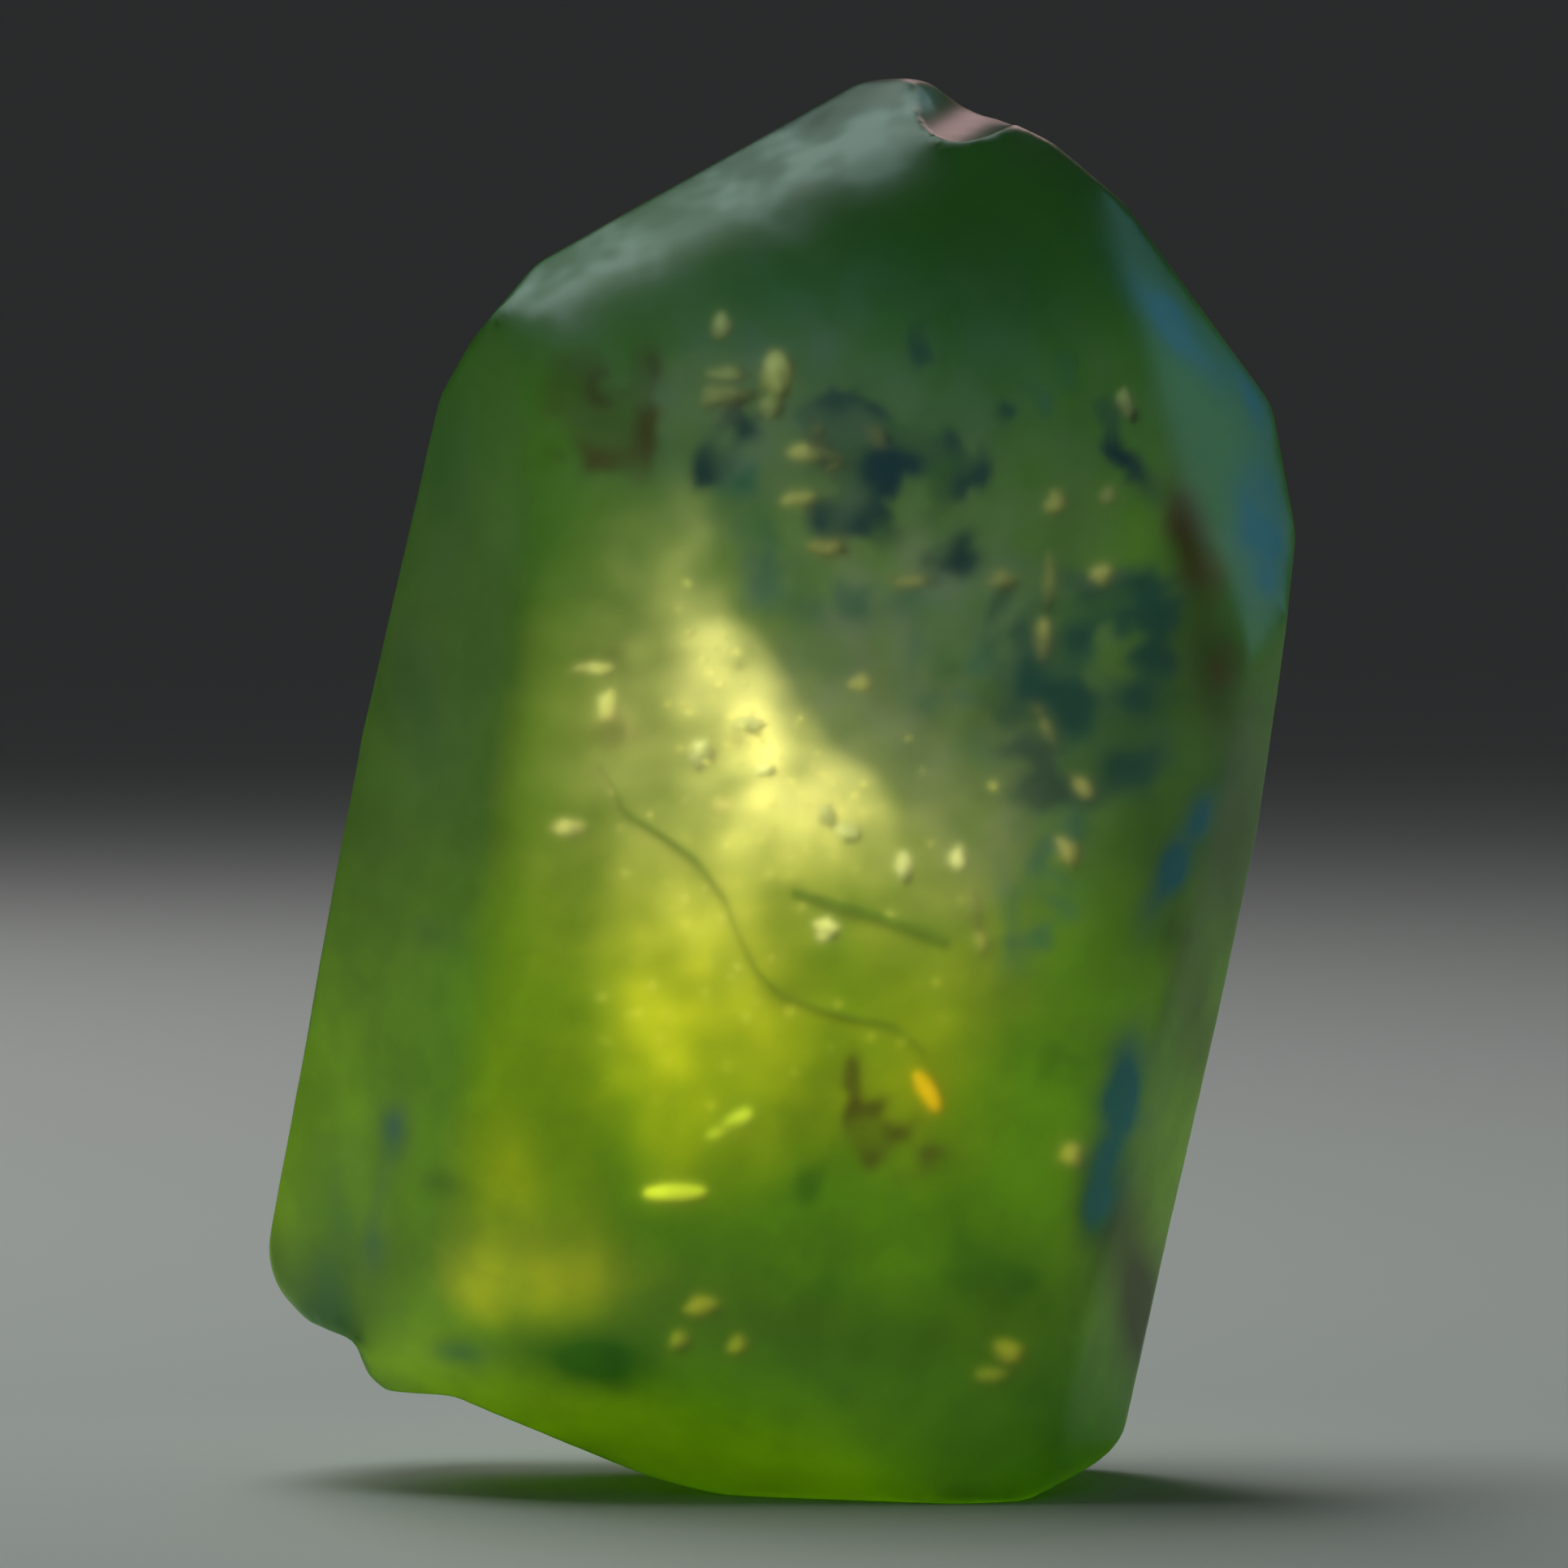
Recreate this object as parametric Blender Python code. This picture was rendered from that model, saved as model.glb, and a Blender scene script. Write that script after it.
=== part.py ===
"""A rough peridot crystal: one olivine prism with a chisel-shaped top, worn edges and a broken foot.

The crystal is first made in its own frame. There Z runs along the long axis, X to the right and Y away
from the viewer, and the origin is at mid-height. Each face is a plane, given by the way it looks out and
by its distance from that origin. The crystal then leans over, and is cut level where it rests.
"""

import math

import bmesh
import bpy
from mathutils import Matrix, Vector

MM = 0.001

# How the crystal stands: its long axis leans to the right, and its own origin comes to this place.
LEAN = math.radians(11.0)
STANDING_PLACE = Vector((0.246, -0.067, 9.96)) * MM

# Half of the prism's width and thickness, and the reach of its foot below the origin, in millimetres.
HALF_WIDTH = 6.94
HALF_DEPTH = 4.45
FOOT_REACH = 9.94

BLOCK_SIZE = 40 * MM  # the block that the faces are cut from
SAME_PLACE = 0.0001 * MM  # points this close to a plane lie on it

# Each face: its name, the bearing of its outward side in degrees (0 is right, 90 is back, 180 is left
# and 270 is front), its rise above level in degrees, and its distance from the origin in millimetres.
PRISM_FACES = (
    ("front", 270, 0.0, HALF_DEPTH),
    ("back", 90, -2.0, HALF_DEPTH),
    ("left lower", 180, -0.3, HALF_WIDTH),
    ("left upper", 180, 2.1, HALF_WIDTH + 0.02),
    ("right lower", 0, -1.4, HALF_WIDTH),
    ("right upper", 0, 3.6, HALF_WIDTH + 0.12),
    ("front left bevel", 223, -3.9, 6.14),
    ("front right bevel", 335, -3.0, 7.23),
    ("back left bevel", 150, 1.5, 6.62),
    ("back right bevel", 43, 2.0, 6.10),
)
TOP_FACES = (
    ("left shoulder", 180, 19.6, 8.33),
    ("left shoulder, upper", 180, 28.6, 8.89),
    ("left dome", 180, 49.4, 9.88),
    ("left dome, front", 223, 48.6, 9.83),
    ("summit", 180, 76.0, 11.88),
    ("summit, right", 0, 74.0, 11.58),
    ("right dome, upper", 0, 60.8, 10.95),
    ("right dome", 0, 47.5, 10.06),
    ("right shoulder", 0, 21.0, 8.49),
    ("right shoulder, front", 311, 28.0, 8.58),
    ("front slope", 268, 15.0, 5.77),
    ("back slope", 90, 24.0, 5.75),
    ("back left shoulder", 133, 35.0, 8.60),
    ("back right shoulder", 40, 30.0, 8.30),
)
FOOT_FACES = (
    ("foot", 180, -85.8, FOOT_REACH),
    ("foot, left corner", 180, -57.3, 10.61),
    ("foot, left side", 180, -27.0, 9.69),
    ("foot, right corner", 0, -43.1, 10.46),
    ("foot, right", 0, -58.4, 10.60),
    ("foot, front", 270, -76.0, 10.50),
    ("foot, back", 90, -76.0, 10.50),
    ("foot, front bevel", 257, -40.0, 8.42),
    ("foot, back bevel", 88, -45.0, 8.45),
)

# How round the edges are worn: the radius on the prism, and what is added at the very top and foot.
WEAR_RADIUS = 0.50 * MM
WEAR_MORE_AT_TOP = 0.35 * MM
WEAR_MORE_AT_FOOT = 0.80 * MM
WEAR_PASSES = 2
SHARPEST_WORN_EDGE = math.radians(4.0)

# The broken corner at the lower left, as the outline of what is missing, seen from the front: the
# underside of the corner that is left, a short wall, a ledge, and the slope down to the foot.
BROKEN_CORNER = (
    (-8.90, 2.90),
    (-7.21, 2.39),
    (-6.54, 2.17),
    (-6.41, 1.66),
    (-6.10, 1.38),
    (-5.02, 1.32),
    (-2.20, 0.16),
    (-2.20, -0.60),
    (-8.90, -0.60),
)
# The break runs from front to back in short steps, and sways a little on the way.
BREAK_START = -5.6
BREAK_STEP = 0.7
BREAK_STEPS = 16
BREAK_SWAY = 0.08
BREAK_SIDE_TURN = 1.1
BREAK_LIFT_TURN = 0.8

# Shell-shaped scars: name, middle of the scar, the way it faces (bearing and rise), its turn about
# that way, half its length and width, and its depth. Millimetres and degrees, as the crystal stands.
SCARS = (
    ("scar_front_foot", (-2.80, -3.92, 2.17), (249, -37), 96, 1.15, 0.62, 0.17),
    ("scar_back_foot", (4.09, 3.68, 2.20), (70, -32), 60, 2.30, 1.30, 0.24),
    ("scar_back_ridge", (-1.11, 1.08, 20.20), (112, 58), 32, 1.70, 0.60, 0.10),
    ("scar_back_corner", (-7.01, 2.53, 3.00), (140, -28), 20, 1.30, 0.95, 0.20),
    ("scar_under_foot", (-3.61, 0.43, 0.84), (180, -75), 0, 1.10, 2.30, 0.13),
)

# The saddle that parts the summit from the right-hand crest: its lowest point on the ridge, where it
# runs out on the front slope, the way its hollow opens, and its radius.
SADDLE_ON_RIDGE = Vector((3.00, 0.0, 21.36)) * MM
SADDLE_IN_FRONT = Vector((2.35, -3.2, 20.95)) * MM
SADDLE_OPENS = Vector((0.37, 0.0, 0.93))
SADDLE_RADIUS = 1.05 * MM
SADDLE_BAR_LENGTH = 16 * MM


def outward(bearing, rise):
    """The direction that a face looks in."""
    bearing, rise = math.radians(bearing), math.radians(rise)
    level = math.cos(rise)
    return Vector((level * math.cos(bearing), level * math.sin(bearing), math.sin(rise)))


def cut(bm, direction, distance):
    """Cuts away all that lies beyond a plane, and closes the cut with one flat face."""
    result = bmesh.ops.bisect_plane(
        bm,
        geom=bm.verts[:] + bm.edges[:] + bm.faces[:],
        dist=SAME_PLACE,
        plane_co=direction * distance,
        plane_no=direction,
        clear_outer=True,
    )
    rim = [e for e in result["geom_cut"] if isinstance(e, bmesh.types.BMEdge) and e.is_boundary]
    if rim:
        bmesh.ops.contextual_create(bm, geom=rim)
    bm.normal_update()


def wear_radius(place):
    """How round the edge at this place is worn."""
    height = place.z / (FOOT_REACH * MM)
    if height > 0:
        return WEAR_RADIUS + WEAR_MORE_AT_TOP * height**2
    return WEAR_RADIUS + WEAR_MORE_AT_FOOT * height**4


def wear_edges(bm):
    """Planes off every edge where a ball that rolls along inside it would touch."""
    worn = []
    for edge in bm.edges:
        one, other = (face.normal for face in edge.link_faces)
        half_angle = one.angle(other) / 2
        if half_angle * 2 < SHARPEST_WORN_EDGE:
            continue
        between = (one + other).normalized()
        middle = (edge.verts[0].co + edge.verts[1].co) / 2
        depth = wear_radius(middle) * (1 / math.cos(half_angle) - 1)
        worn.append((between, middle.dot(between) - depth))
    for direction, distance in worn:
        cut(bm, direction, distance)


def crystal_mesh():
    """The crystal as it stands: a block cut by every face, worn, leant over and cut level below."""
    bm = bmesh.new()
    bmesh.ops.create_cube(bm, size=BLOCK_SIZE)
    for _, bearing, rise, distance in PRISM_FACES + TOP_FACES + FOOT_FACES:
        cut(bm, outward(bearing, rise), distance * MM)
    for _ in range(WEAR_PASSES):
        wear_edges(bm)
    bm.transform(Matrix.Translation(STANDING_PLACE) @ Matrix.Rotation(LEAN, 4, "Y"))
    bm.normal_update()
    cut(bm, Vector((0, 0, -1)), 0.0)
    return bm


def add_object(name, bm):
    """Turns a finished bmesh into an object of the scene."""
    mesh = bpy.data.meshes.new(name)
    bm.to_mesh(mesh)
    bm.free()
    obj = bpy.data.objects.new(name, mesh)
    bpy.context.scene.collection.objects.link(obj)
    return obj


def as_cutter(obj):
    """Marks an object as a cutter, which isn't part of the crystal."""
    obj.hide_render = True
    obj.display_type = "WIRE"
    return obj


def broken_corner_cutter():
    """What broke off the lower left: its outline, drawn out from front to back in a wavy course."""
    bm = bmesh.new()
    outline = [bm.verts.new((x * MM, BREAK_START * MM, z * MM)) for x, z in BROKEN_CORNER]
    front = bm.faces.new(outline)
    rim = front.edges[:]
    for step in range(BREAK_STEPS):
        course = Vector((
            BREAK_SWAY * math.cos(BREAK_SIDE_TURN * step),
            BREAK_STEP,
            BREAK_SWAY * math.sin(BREAK_LIFT_TURN * step),
        ))
        result = bmesh.ops.extrude_edge_only(bm, edges=rim)
        rim = [g for g in result["geom"] if isinstance(g, bmesh.types.BMEdge)]
        new_verts = [g for g in result["geom"] if isinstance(g, bmesh.types.BMVert)]
        bmesh.ops.translate(bm, verts=new_verts, vec=course * MM)
    bmesh.ops.contextual_create(bm, geom=rim)
    bmesh.ops.recalc_face_normals(bm, faces=bm.faces[:])
    return as_cutter(add_object("cut_broken_corner", bm))


def scar_cutter(name, middle, facing, turn, half_length, half_width, depth):
    """A ball, drawn out so that it bites a shell-shaped scar of the given length, width and depth.

    A ball of radius 1 that dips to a depth d cuts a round scar with a half width of about sqrt(2d).
    """
    cut_half_width = math.sqrt(2 * depth)
    stretch = (half_length / cut_half_width, half_width / cut_half_width, 1.0)
    out = outward(*facing)
    turned = out.to_track_quat("Z", "X").to_matrix() @ Matrix.Rotation(math.radians(turn), 3, "Z")
    bm = bmesh.new()
    bmesh.ops.create_icosphere(bm, subdivisions=3, radius=1.0)
    bmesh.ops.scale(bm, verts=bm.verts[:], vec=stretch)
    bmesh.ops.rotate(bm, verts=bm.verts[:], matrix=turned)
    bmesh.ops.translate(bm, verts=bm.verts[:], vec=Vector(middle) + out * (1.0 - depth))
    bmesh.ops.scale(bm, verts=bm.verts[:], vec=(MM, MM, MM))
    return as_cutter(add_object(name, bm))


def saddle_cutter():
    """A bar that lies across the ridge, and bites a shallow saddle into it."""
    along = (SADDLE_IN_FRONT - SADDLE_ON_RIDGE).normalized()
    bm = bmesh.new()
    bmesh.ops.create_cone(
        bm,
        cap_ends=True,
        segments=36,
        radius1=SADDLE_RADIUS,
        radius2=SADDLE_RADIUS,
        depth=SADDLE_BAR_LENGTH,
    )
    bmesh.ops.rotate(bm, verts=bm.verts[:], matrix=along.to_track_quat("Z", "Y").to_matrix())
    middle = SADDLE_ON_RIDGE + SADDLE_OPENS.normalized() * SADDLE_RADIUS
    bmesh.ops.translate(bm, verts=bm.verts[:], vec=middle)
    return as_cutter(add_object("cut_saddle", bm))


def peridot_material():
    """Clear green stone with a slightly worn surface."""
    material = bpy.data.materials.new("peridot")
    material.use_nodes = True
    shader = material.node_tree.nodes["Principled BSDF"]
    shader.inputs["Base Color"].default_value = (0.25, 0.48, 0.06, 1.0)
    shader.inputs["Roughness"].default_value = 0.18
    shader.inputs["Metallic"].default_value = 0.0
    shader.inputs["IOR"].default_value = 1.67
    shader.inputs["Transmission Weight"].default_value = 0.9
    return material


def main():
    for obj in list(bpy.data.objects):
        bpy.data.objects.remove(obj)
    crystal = add_object("peridot_crystal", crystal_mesh())
    crystal.data.materials.append(peridot_material())
    cutters = [broken_corner_cutter(), saddle_cutter()]
    cutters += [scar_cutter(*scar) for scar in SCARS]
    for cutter in cutters:
        boolean = crystal.modifiers.new(cutter.name, "BOOLEAN")
        boolean.operation = "DIFFERENCE"
        boolean.solver = "EXACT"
        boolean.object = cutter


main()
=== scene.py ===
# %% [markdown]
# # A rough peridot crystal
# This lesson dresses one natural crystal: a clear, yellow-green prism with worn edges and a broken foot.
# The solid model gives the exact outline. What makes such a stone look real is the rest: a skin that is
# smooth in one place and frosted in another, a body that drinks up blue light, and the small flaws that
# float inside it and catch the light. All of these are made here, with mesh tools and shader nodes.

# %% Load the solid model
import math
import random

import bmesh
import bpy
from mathutils import Matrix, Vector, noise
from mathutils.bvhtree import BVHTree


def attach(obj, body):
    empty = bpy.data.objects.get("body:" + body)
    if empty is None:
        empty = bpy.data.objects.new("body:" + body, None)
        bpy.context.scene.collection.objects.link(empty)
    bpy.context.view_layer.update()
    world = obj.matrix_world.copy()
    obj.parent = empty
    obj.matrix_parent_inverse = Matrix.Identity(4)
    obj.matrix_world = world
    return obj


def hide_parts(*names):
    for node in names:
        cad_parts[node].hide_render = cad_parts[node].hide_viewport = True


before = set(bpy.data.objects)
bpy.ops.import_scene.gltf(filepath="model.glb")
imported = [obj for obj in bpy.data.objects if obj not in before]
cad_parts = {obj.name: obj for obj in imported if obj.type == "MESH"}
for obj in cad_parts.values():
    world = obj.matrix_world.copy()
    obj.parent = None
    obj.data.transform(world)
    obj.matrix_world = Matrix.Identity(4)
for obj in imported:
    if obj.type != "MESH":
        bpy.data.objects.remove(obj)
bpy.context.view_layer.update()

MM = 0.001


def in_mm(place):
    """A place or a size in metres, as rounded millimetres."""
    return [round(v / MM, 2) for v in place]


# %% [markdown]
# ## Places on the stone
# Every flaw has its place in the photograph, so one small function turns a place in the picture into a
# place in the model. The picture looks straight along +Y. One pixel is 0.0127 mm at the stone, and the
# row of pixels at the foot is level with the floor. The depth has to be given, because a picture has
# none. A second function turns a place into the crystal's own frame, whose Z is its long axis, which is
# where growth lines and faces are easy to describe.

# %% From picture to model
PIXEL = 0.0127 * MM
MIDDLE_COLUMN = 960
FLOOR_ROW = 1826
LEAN = math.radians(11.0)
CRYSTAL_MIDDLE = Vector((0.246, -0.067, 9.96)) * MM

to_crystal = (Matrix.Translation(CRYSTAL_MIDDLE) @ Matrix.Rotation(LEAN, 4, "Y")).inverted()


def at(column, row, depth):
    """The place in the model of a point in the picture, at a depth in millimetres behind the middle."""
    return Vector(((column - MIDDLE_COLUMN) * PIXEL, depth * MM, (FLOOR_ROW - row) * PIXEL))


print("the glow's middle is at", in_mm(at(940, 960, 0)), "mm")

# %% [markdown]
# ## The stone's skin
# The solid model is made of large flat triangles, which have no points in between to carry relief. The
# Remesh modifier lays an even net over the whole form, and Shrinkwrap then pulls that net back onto the
# true faces. A natural stone has no sharp corners left, so the net is smoothed, most of all on the broad
# front and back, where the photograph shows hardly any edge at all.

# %% An even net over the solid
NET = 0.13 * MM  # from one point of the net to the next
SAME_POINT = 0.0005 * MM  # corners of the solid's triangles that lie this close are one point
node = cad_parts["peridot_crystal"]


def object_from(name, bm):
    """Puts a finished bmesh into the scene as an object."""
    mesh = bpy.data.meshes.new(name)
    bm.to_mesh(mesh)
    bm.free()
    obj = bpy.data.objects.new(name, mesh)
    bpy.context.scene.collection.objects.link(obj)
    return obj


def with_modifiers_applied(obj):
    """Replaces an object's mesh by what its modifiers make of it."""
    evaluated = obj.evaluated_get(bpy.context.evaluated_depsgraph_get())
    mesh = bpy.data.meshes.new_from_object(evaluated)
    obj.modifiers.clear()
    obj.data = mesh


bm = bmesh.new()
bm.from_mesh(node.data)
bmesh.ops.remove_doubles(bm, verts=bm.verts, dist=SAME_POINT)
solid_tree = BVHTree.FromBMesh(bm)
shape = object_from("merged_solid", bm)

bm = bmesh.new()
bm.from_mesh(shape.data)
stone = object_from("stone", bm)
remesh = stone.modifiers.new("net", "REMESH")
remesh.mode = "VOXEL"
remesh.voxel_size = NET
wrap = stone.modifiers.new("true faces", "SHRINKWRAP")
wrap.target = shape
wrap.wrap_method = "NEAREST_SURFACEPOINT"
with_modifiers_applied(stone)
bpy.data.objects.remove(shape)
print("the net has", len(stone.data.vertices), "points and", len(stone.data.polygons), "faces")

# %% [markdown]
# ## Worn edges
# A crystal that has rolled in gravel has lost its sharp corners. The ends wear only a little, so a few
# rounds of the Smooth modifier are enough there. The low ridges on the broad front are worn almost away,
# so a vertex group sends many more rounds to the points that face forwards or backwards. Smoothing the
# net is better here than bevelling each edge, because wear has no even width.

# %% Worn edges
BROAD_SOFTENING = 260  # rounds of smoothing on the broad front and back
EDGE_SOFTENING = 10  # rounds everywhere
BROAD_FACTOR = 0.7  # share of the way to its neighbours that a point moves in a round
EDGE_FACTOR = 0.5
BROAD_SIDES = (0.25, 0.75)  # how squarely skin looks forwards or backwards to count as broad


def soft_step(low, high, value):
    """0 below low, 1 above high, and smooth between."""
    t = min(max((value - low) / (high - low), 0.0), 1.0)
    return t * t * (3 - 2 * t)


broad = stone.vertex_groups.new(name="broad sides")
for vert in stone.data.vertices:
    broad.add([vert.index], soft_step(*BROAD_SIDES, abs(vert.normal.y)), "REPLACE")
soften = stone.modifiers.new("worn edges", "SMOOTH")
soften.factor = EDGE_FACTOR
soften.iterations = EDGE_SOFTENING
soften = stone.modifiers.new("worn broad sides", "SMOOTH")
soften.factor = BROAD_FACTOR
soften.iterations = BROAD_SOFTENING
soften.vertex_group = broad.name
before = [v.co.copy() for v in stone.data.vertices]
with_modifiers_applied(stone)
stone.vertex_groups.clear()
worn_away = max((v.co - old).length for v, old in zip(stone.data.vertices, before))
print("wear moves the skin by up to", round(worn_away / MM, 3), "mm")

# %% [markdown]
# ## Relief on the skin
# Three kinds of relief are too fine for the solid model: a slow swell over the whole stone, faint growth
# lines along the prism, and ripples on the broken foot. All three are seeded noise, measured in the
# crystal's own frame so that the lines follow its long axis. Real relief, not a bump map, is used because
# clear stone shows it twice, once in the reflections and once in what is bent through it. The flat spot
# under the foot is left level, because the stone rests on it.

# %% Relief
# heights in millimetres, and the size of the noise that makes each
SWELL, SWELL_SIZE = 0.030, 3.4 * MM
SMALL_SWELL, SMALL_SWELL_SIZE = 0.010, 1.3 * MM
FOOT_RIPPLE, RIPPLE_SIZE = 0.020, 0.9 * MM
GROWTH_LINES, LINE_WIDTH, LINE_LENGTH = 0.0035, 0.30, 5.0
UPRIGHT = (0.15, 0.45)  # growth lines fade on faces that lean more than this
FOOT_TOP = -8.2 * MM  # below this height along the crystal the surface is broken, and rippled
FOOT_FADE = 0.9 * MM
REST_BAND = 0.08 * MM  # the flat spot stays flat


def relief(place, normal):
    """How far the skin stands out at a place, in metres."""
    p = to_crystal @ place
    swell = SWELL * noise.noise(p / SWELL_SIZE) + SMALL_SWELL * noise.noise(p / SMALL_SWELL_SIZE)
    lined = Vector((p.x / LINE_WIDTH, p.y / LINE_WIDTH, p.z / LINE_LENGTH)) / MM
    upright = 1.0 - soft_step(*UPRIGHT, abs((to_crystal.to_3x3() @ normal).z))
    lines = GROWTH_LINES * noise.noise(lined) * upright
    broken = 1.0 - soft_step(FOOT_TOP - FOOT_FADE, FOOT_TOP, p.z)
    ripple = FOOT_RIPPLE * noise.noise(p / RIPPLE_SIZE) * broken
    return (swell + lines + ripple) * MM


bm = bmesh.new()
bm.from_mesh(stone.data)
bm.normal_update()
moved = [(v, v.normal.copy(), relief(v.co, v.normal)) for v in bm.verts]
for vert, normal, out in moved:
    keep_level = soft_step(0.0, REST_BAND, vert.co.z)
    vert.co += normal * out * keep_level
bm.to_mesh(stone.data)
bm.free()
stone.data.shade_smooth()
heights = [out / MM for _, _, out in moved]
print("relief from", round(min(heights), 3), "to", round(max(heights), 3), "mm")

# %% [markdown]
# ## Soft patches
# Frosted spots on the skin, and the glow inside the stone, have no edges. Each is drawn as a few soft
# ovals, given by their middle in the picture, two half widths, a turn and a strength. Their sum is
# written on the mesh's points as an attribute, which the materials read.

# %% Soft ovals


def picture_place(place):
    """The column and row of the picture that a place in the model falls on."""
    return MIDDLE_COLUMN + place.x / PIXEL, FLOOR_ROW - place.z / PIXEL


def oval(column, row, spot):
    """How strong a soft oval is at a point of the picture."""
    middle_column, middle_row, half_length, half_width, turn, strength = spot
    dx, dy = column - middle_column, row - middle_row
    lean = math.radians(turn)
    along = dx * math.sin(lean) + dy * math.cos(lean)
    across = dx * math.cos(lean) - dy * math.sin(lean)
    return strength * math.exp(-((along / half_length) ** 2 + (across / half_width) ** 2))


def patch(column, row, outline, softness):
    """1 inside an outline drawn on the picture, 0 outside, with a soft border."""
    spot = Vector((column, row))
    inside, nearest = False, math.inf
    for a, b in zip(outline, outline[1:] + outline[:1]):
        if (a[1] > row) != (b[1] > row) and column < (b[0] - a[0]) * (row - a[1]) / (b[1] - a[1]) + a[0]:
            inside = not inside
        a, b = Vector(a), Vector(b)
        along = min(max((spot - a).dot(b - a) / (b - a).length_squared, 0.0), 1.0)
        nearest = min(nearest, (spot - a.lerp(b, along)).length)
    return soft_step(-softness, softness, nearest if inside else -nearest)


def write_attribute(mesh, name, values):
    """Stores one number for each point of a mesh."""
    layer = mesh.attributes.new(name, "FLOAT", "POINT")
    layer.data.foreach_set("value", values)
    print(name, "goes from", round(min(values), 4), "to", round(max(values), 4))


end_of_oval = oval(0, 20, (0, 0, 20, 10, 0, 1.0))
print("where its half length ends, an oval of strength 1 still has", round(end_of_oval, 2))

# %% [markdown]
# ## Frost, painted highlight and sheen, stains and painted shade
# The skin isn't equally clear. Fine scratches make white frost, most of all on the sloping band at the
# top left, and one bright spot in the notch at the top is a painted highlight. The worn right edge and a
# few spots low on the left carry a painted blue sheen, a painted reflection of the sky. In a few places,
# such as the old scar at the foot, the skin is stained dark, and along the sides and edges the same
# darkening is painted shade. None of these stand out from the surface, so they are only numbers on its
# points, which the material turns into colour, roughness and lost clearness. Frost also follows the
# direction of the face that is worn.

# %% Places of the frost, the painted highlight, the painted sheen, the stains and the painted shade
# middle column, middle row, half length, half width, turn, strength
FROST_AND_HIGHLIGHT_SPOTS = [
    # the first spot lightens the dark notch at the top: a painted highlight
    (1140, 120, 22, 26, 60, 1.6),
    (1080, 200, 50, 45, 60, 1.0),
    (985, 195, 40, 26, 60, 0.6),
    (940, 262, 70, 30, 60, 0.9),
    (800, 340, 100, 38, 60, 0.5),
    (690, 388, 70, 42, 40, 0.5),
    (430, 1480, 150, 60, -10, 0.30),
    (575, 1650, 26, 45, 0, 0.5),
]
# painted blue sheen: a painted reflection of the sky on the right edge and low on the left
PAINTED_SHEEN_SPOTS = [
    (1440, 400, 90, 26, 44, 1.3),
    (1520, 480, 60, 22, 36, 1.0),
    (1545, 660, 90, 34, 3, 1.5),
    (1442, 1045, 84, 22, -24, 1.5),
    (1380, 1335, 80, 34, -9, 1.5),
    (1350, 1445, 66, 23, -10, 1.2),
    (490, 1375, 50, 24, -10, 0.8),
    (474, 1510, 80, 22, 4, 0.6),
    (412, 1520, 70, 36, 10, 0.45),
    (572, 1648, 18, 30, 0, 0.5),
]
# stains, such as the scar at the foot, and painted shade along the sides and edges
SHADE_SPOTS = [
    (752, 1655, 46, 76, 4, 1.1),
    (650, 1640, 50, 80, 10, 0.55),
    (400, 1640, 80, 56, 0, 1.3),
    (1420, 1660, 90, 40, 8, 0.6),
    (410, 1450, 90, 40, 0, 0.35),
    (470, 1720, 40, 90, 12, 0.5),
    (560, 560, 90, 44, 8, 0.6),
    (540, 680, 80, 40, 8, 0.3),
    (528, 870, 110, 36, 8, 0.55),
    (1520, 980, 130, 40, 6, 0.5),
    (1360, 1455, 80, 34, -9, 0.6),
    (680, 1780, 20, 90, 0, 0.5),
    (1395, 1570, 110, 40, 8, 0.9),
    (1450, 1180, 190, 34, 12, 0.6),
    (1340, 1455, 60, 22, -9, 0.6),
    (540, 1140, 18, 30, 0, 0.5),
    (556, 1440, 18, 30, -20, 0.5),
    (1452, 662, 70, 26, 12, 0.9),
    (1480, 815, 80, 38, 8, 0.7),
    (1490, 1060, 110, 36, 8, 0.5),
]
print(len(FROST_AND_HIGHLIGHT_SPOTS), "frosted spots,", len(PAINTED_SHEEN_SPOTS), "with bloom,", len(SHADE_SPOTS), "stained_and_shaded")

# %% [markdown]
# The ovals belong to the front, so they fade where the skin turns away from it. Otherwise each would run
# through to the back. Frost also depends on where a face looks: it covers the worn faces all over, and
# fades out beside them. Noise breaks up the frost, because wear is never even, and the painted sheen too.

# %% How they fall on the skin
BAND_NORMAL = Vector((-0.332, -0.451, 0.829))  # the sloping face at the top left
BAND_FROST = 0.58
BAND_SPREAD = 46  # degrees from that direction at which its frost ends
BAND_FRONT = (0.05, 0.40)
SHOULDER_NORMAL = Vector((0.658, -0.666, 0.350))  # the worn corner at the top right
SHOULDER_FROST = 0.05
SHOULDER_SPREAD = 28
FULL_SHARE = 0.35  # up to this share of its spread the frost is full
FRONT_FACING = (0.0, 0.3)  # spots fade where the skin turns away from the front
FROST_ENDS = (-2.0 * MM, 1.5 * MM)  # and frosted spots fade towards the back
SCRATCH_SIZE = 0.9 * MM  # sizes of the noise that breaks up the frost
FINE_SCRATCH_SIZE = 0.35 * MM
SHEEN_BREAK_SIZE = 0.7 * MM  # and the painted sheen


def in_front(normal):
    """1 on skin that faces the front, 0 on the back and sides."""
    return soft_step(*FRONT_FACING, -normal.y)


def faces(normal, toward, spread):
    """1 where the skin faces a direction, 0 where it looks more than spread degrees away."""
    angle = math.degrees(normal.angle(toward, math.pi))
    return 1.0 - soft_step(FULL_SHARE * spread, spread, angle)


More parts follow.
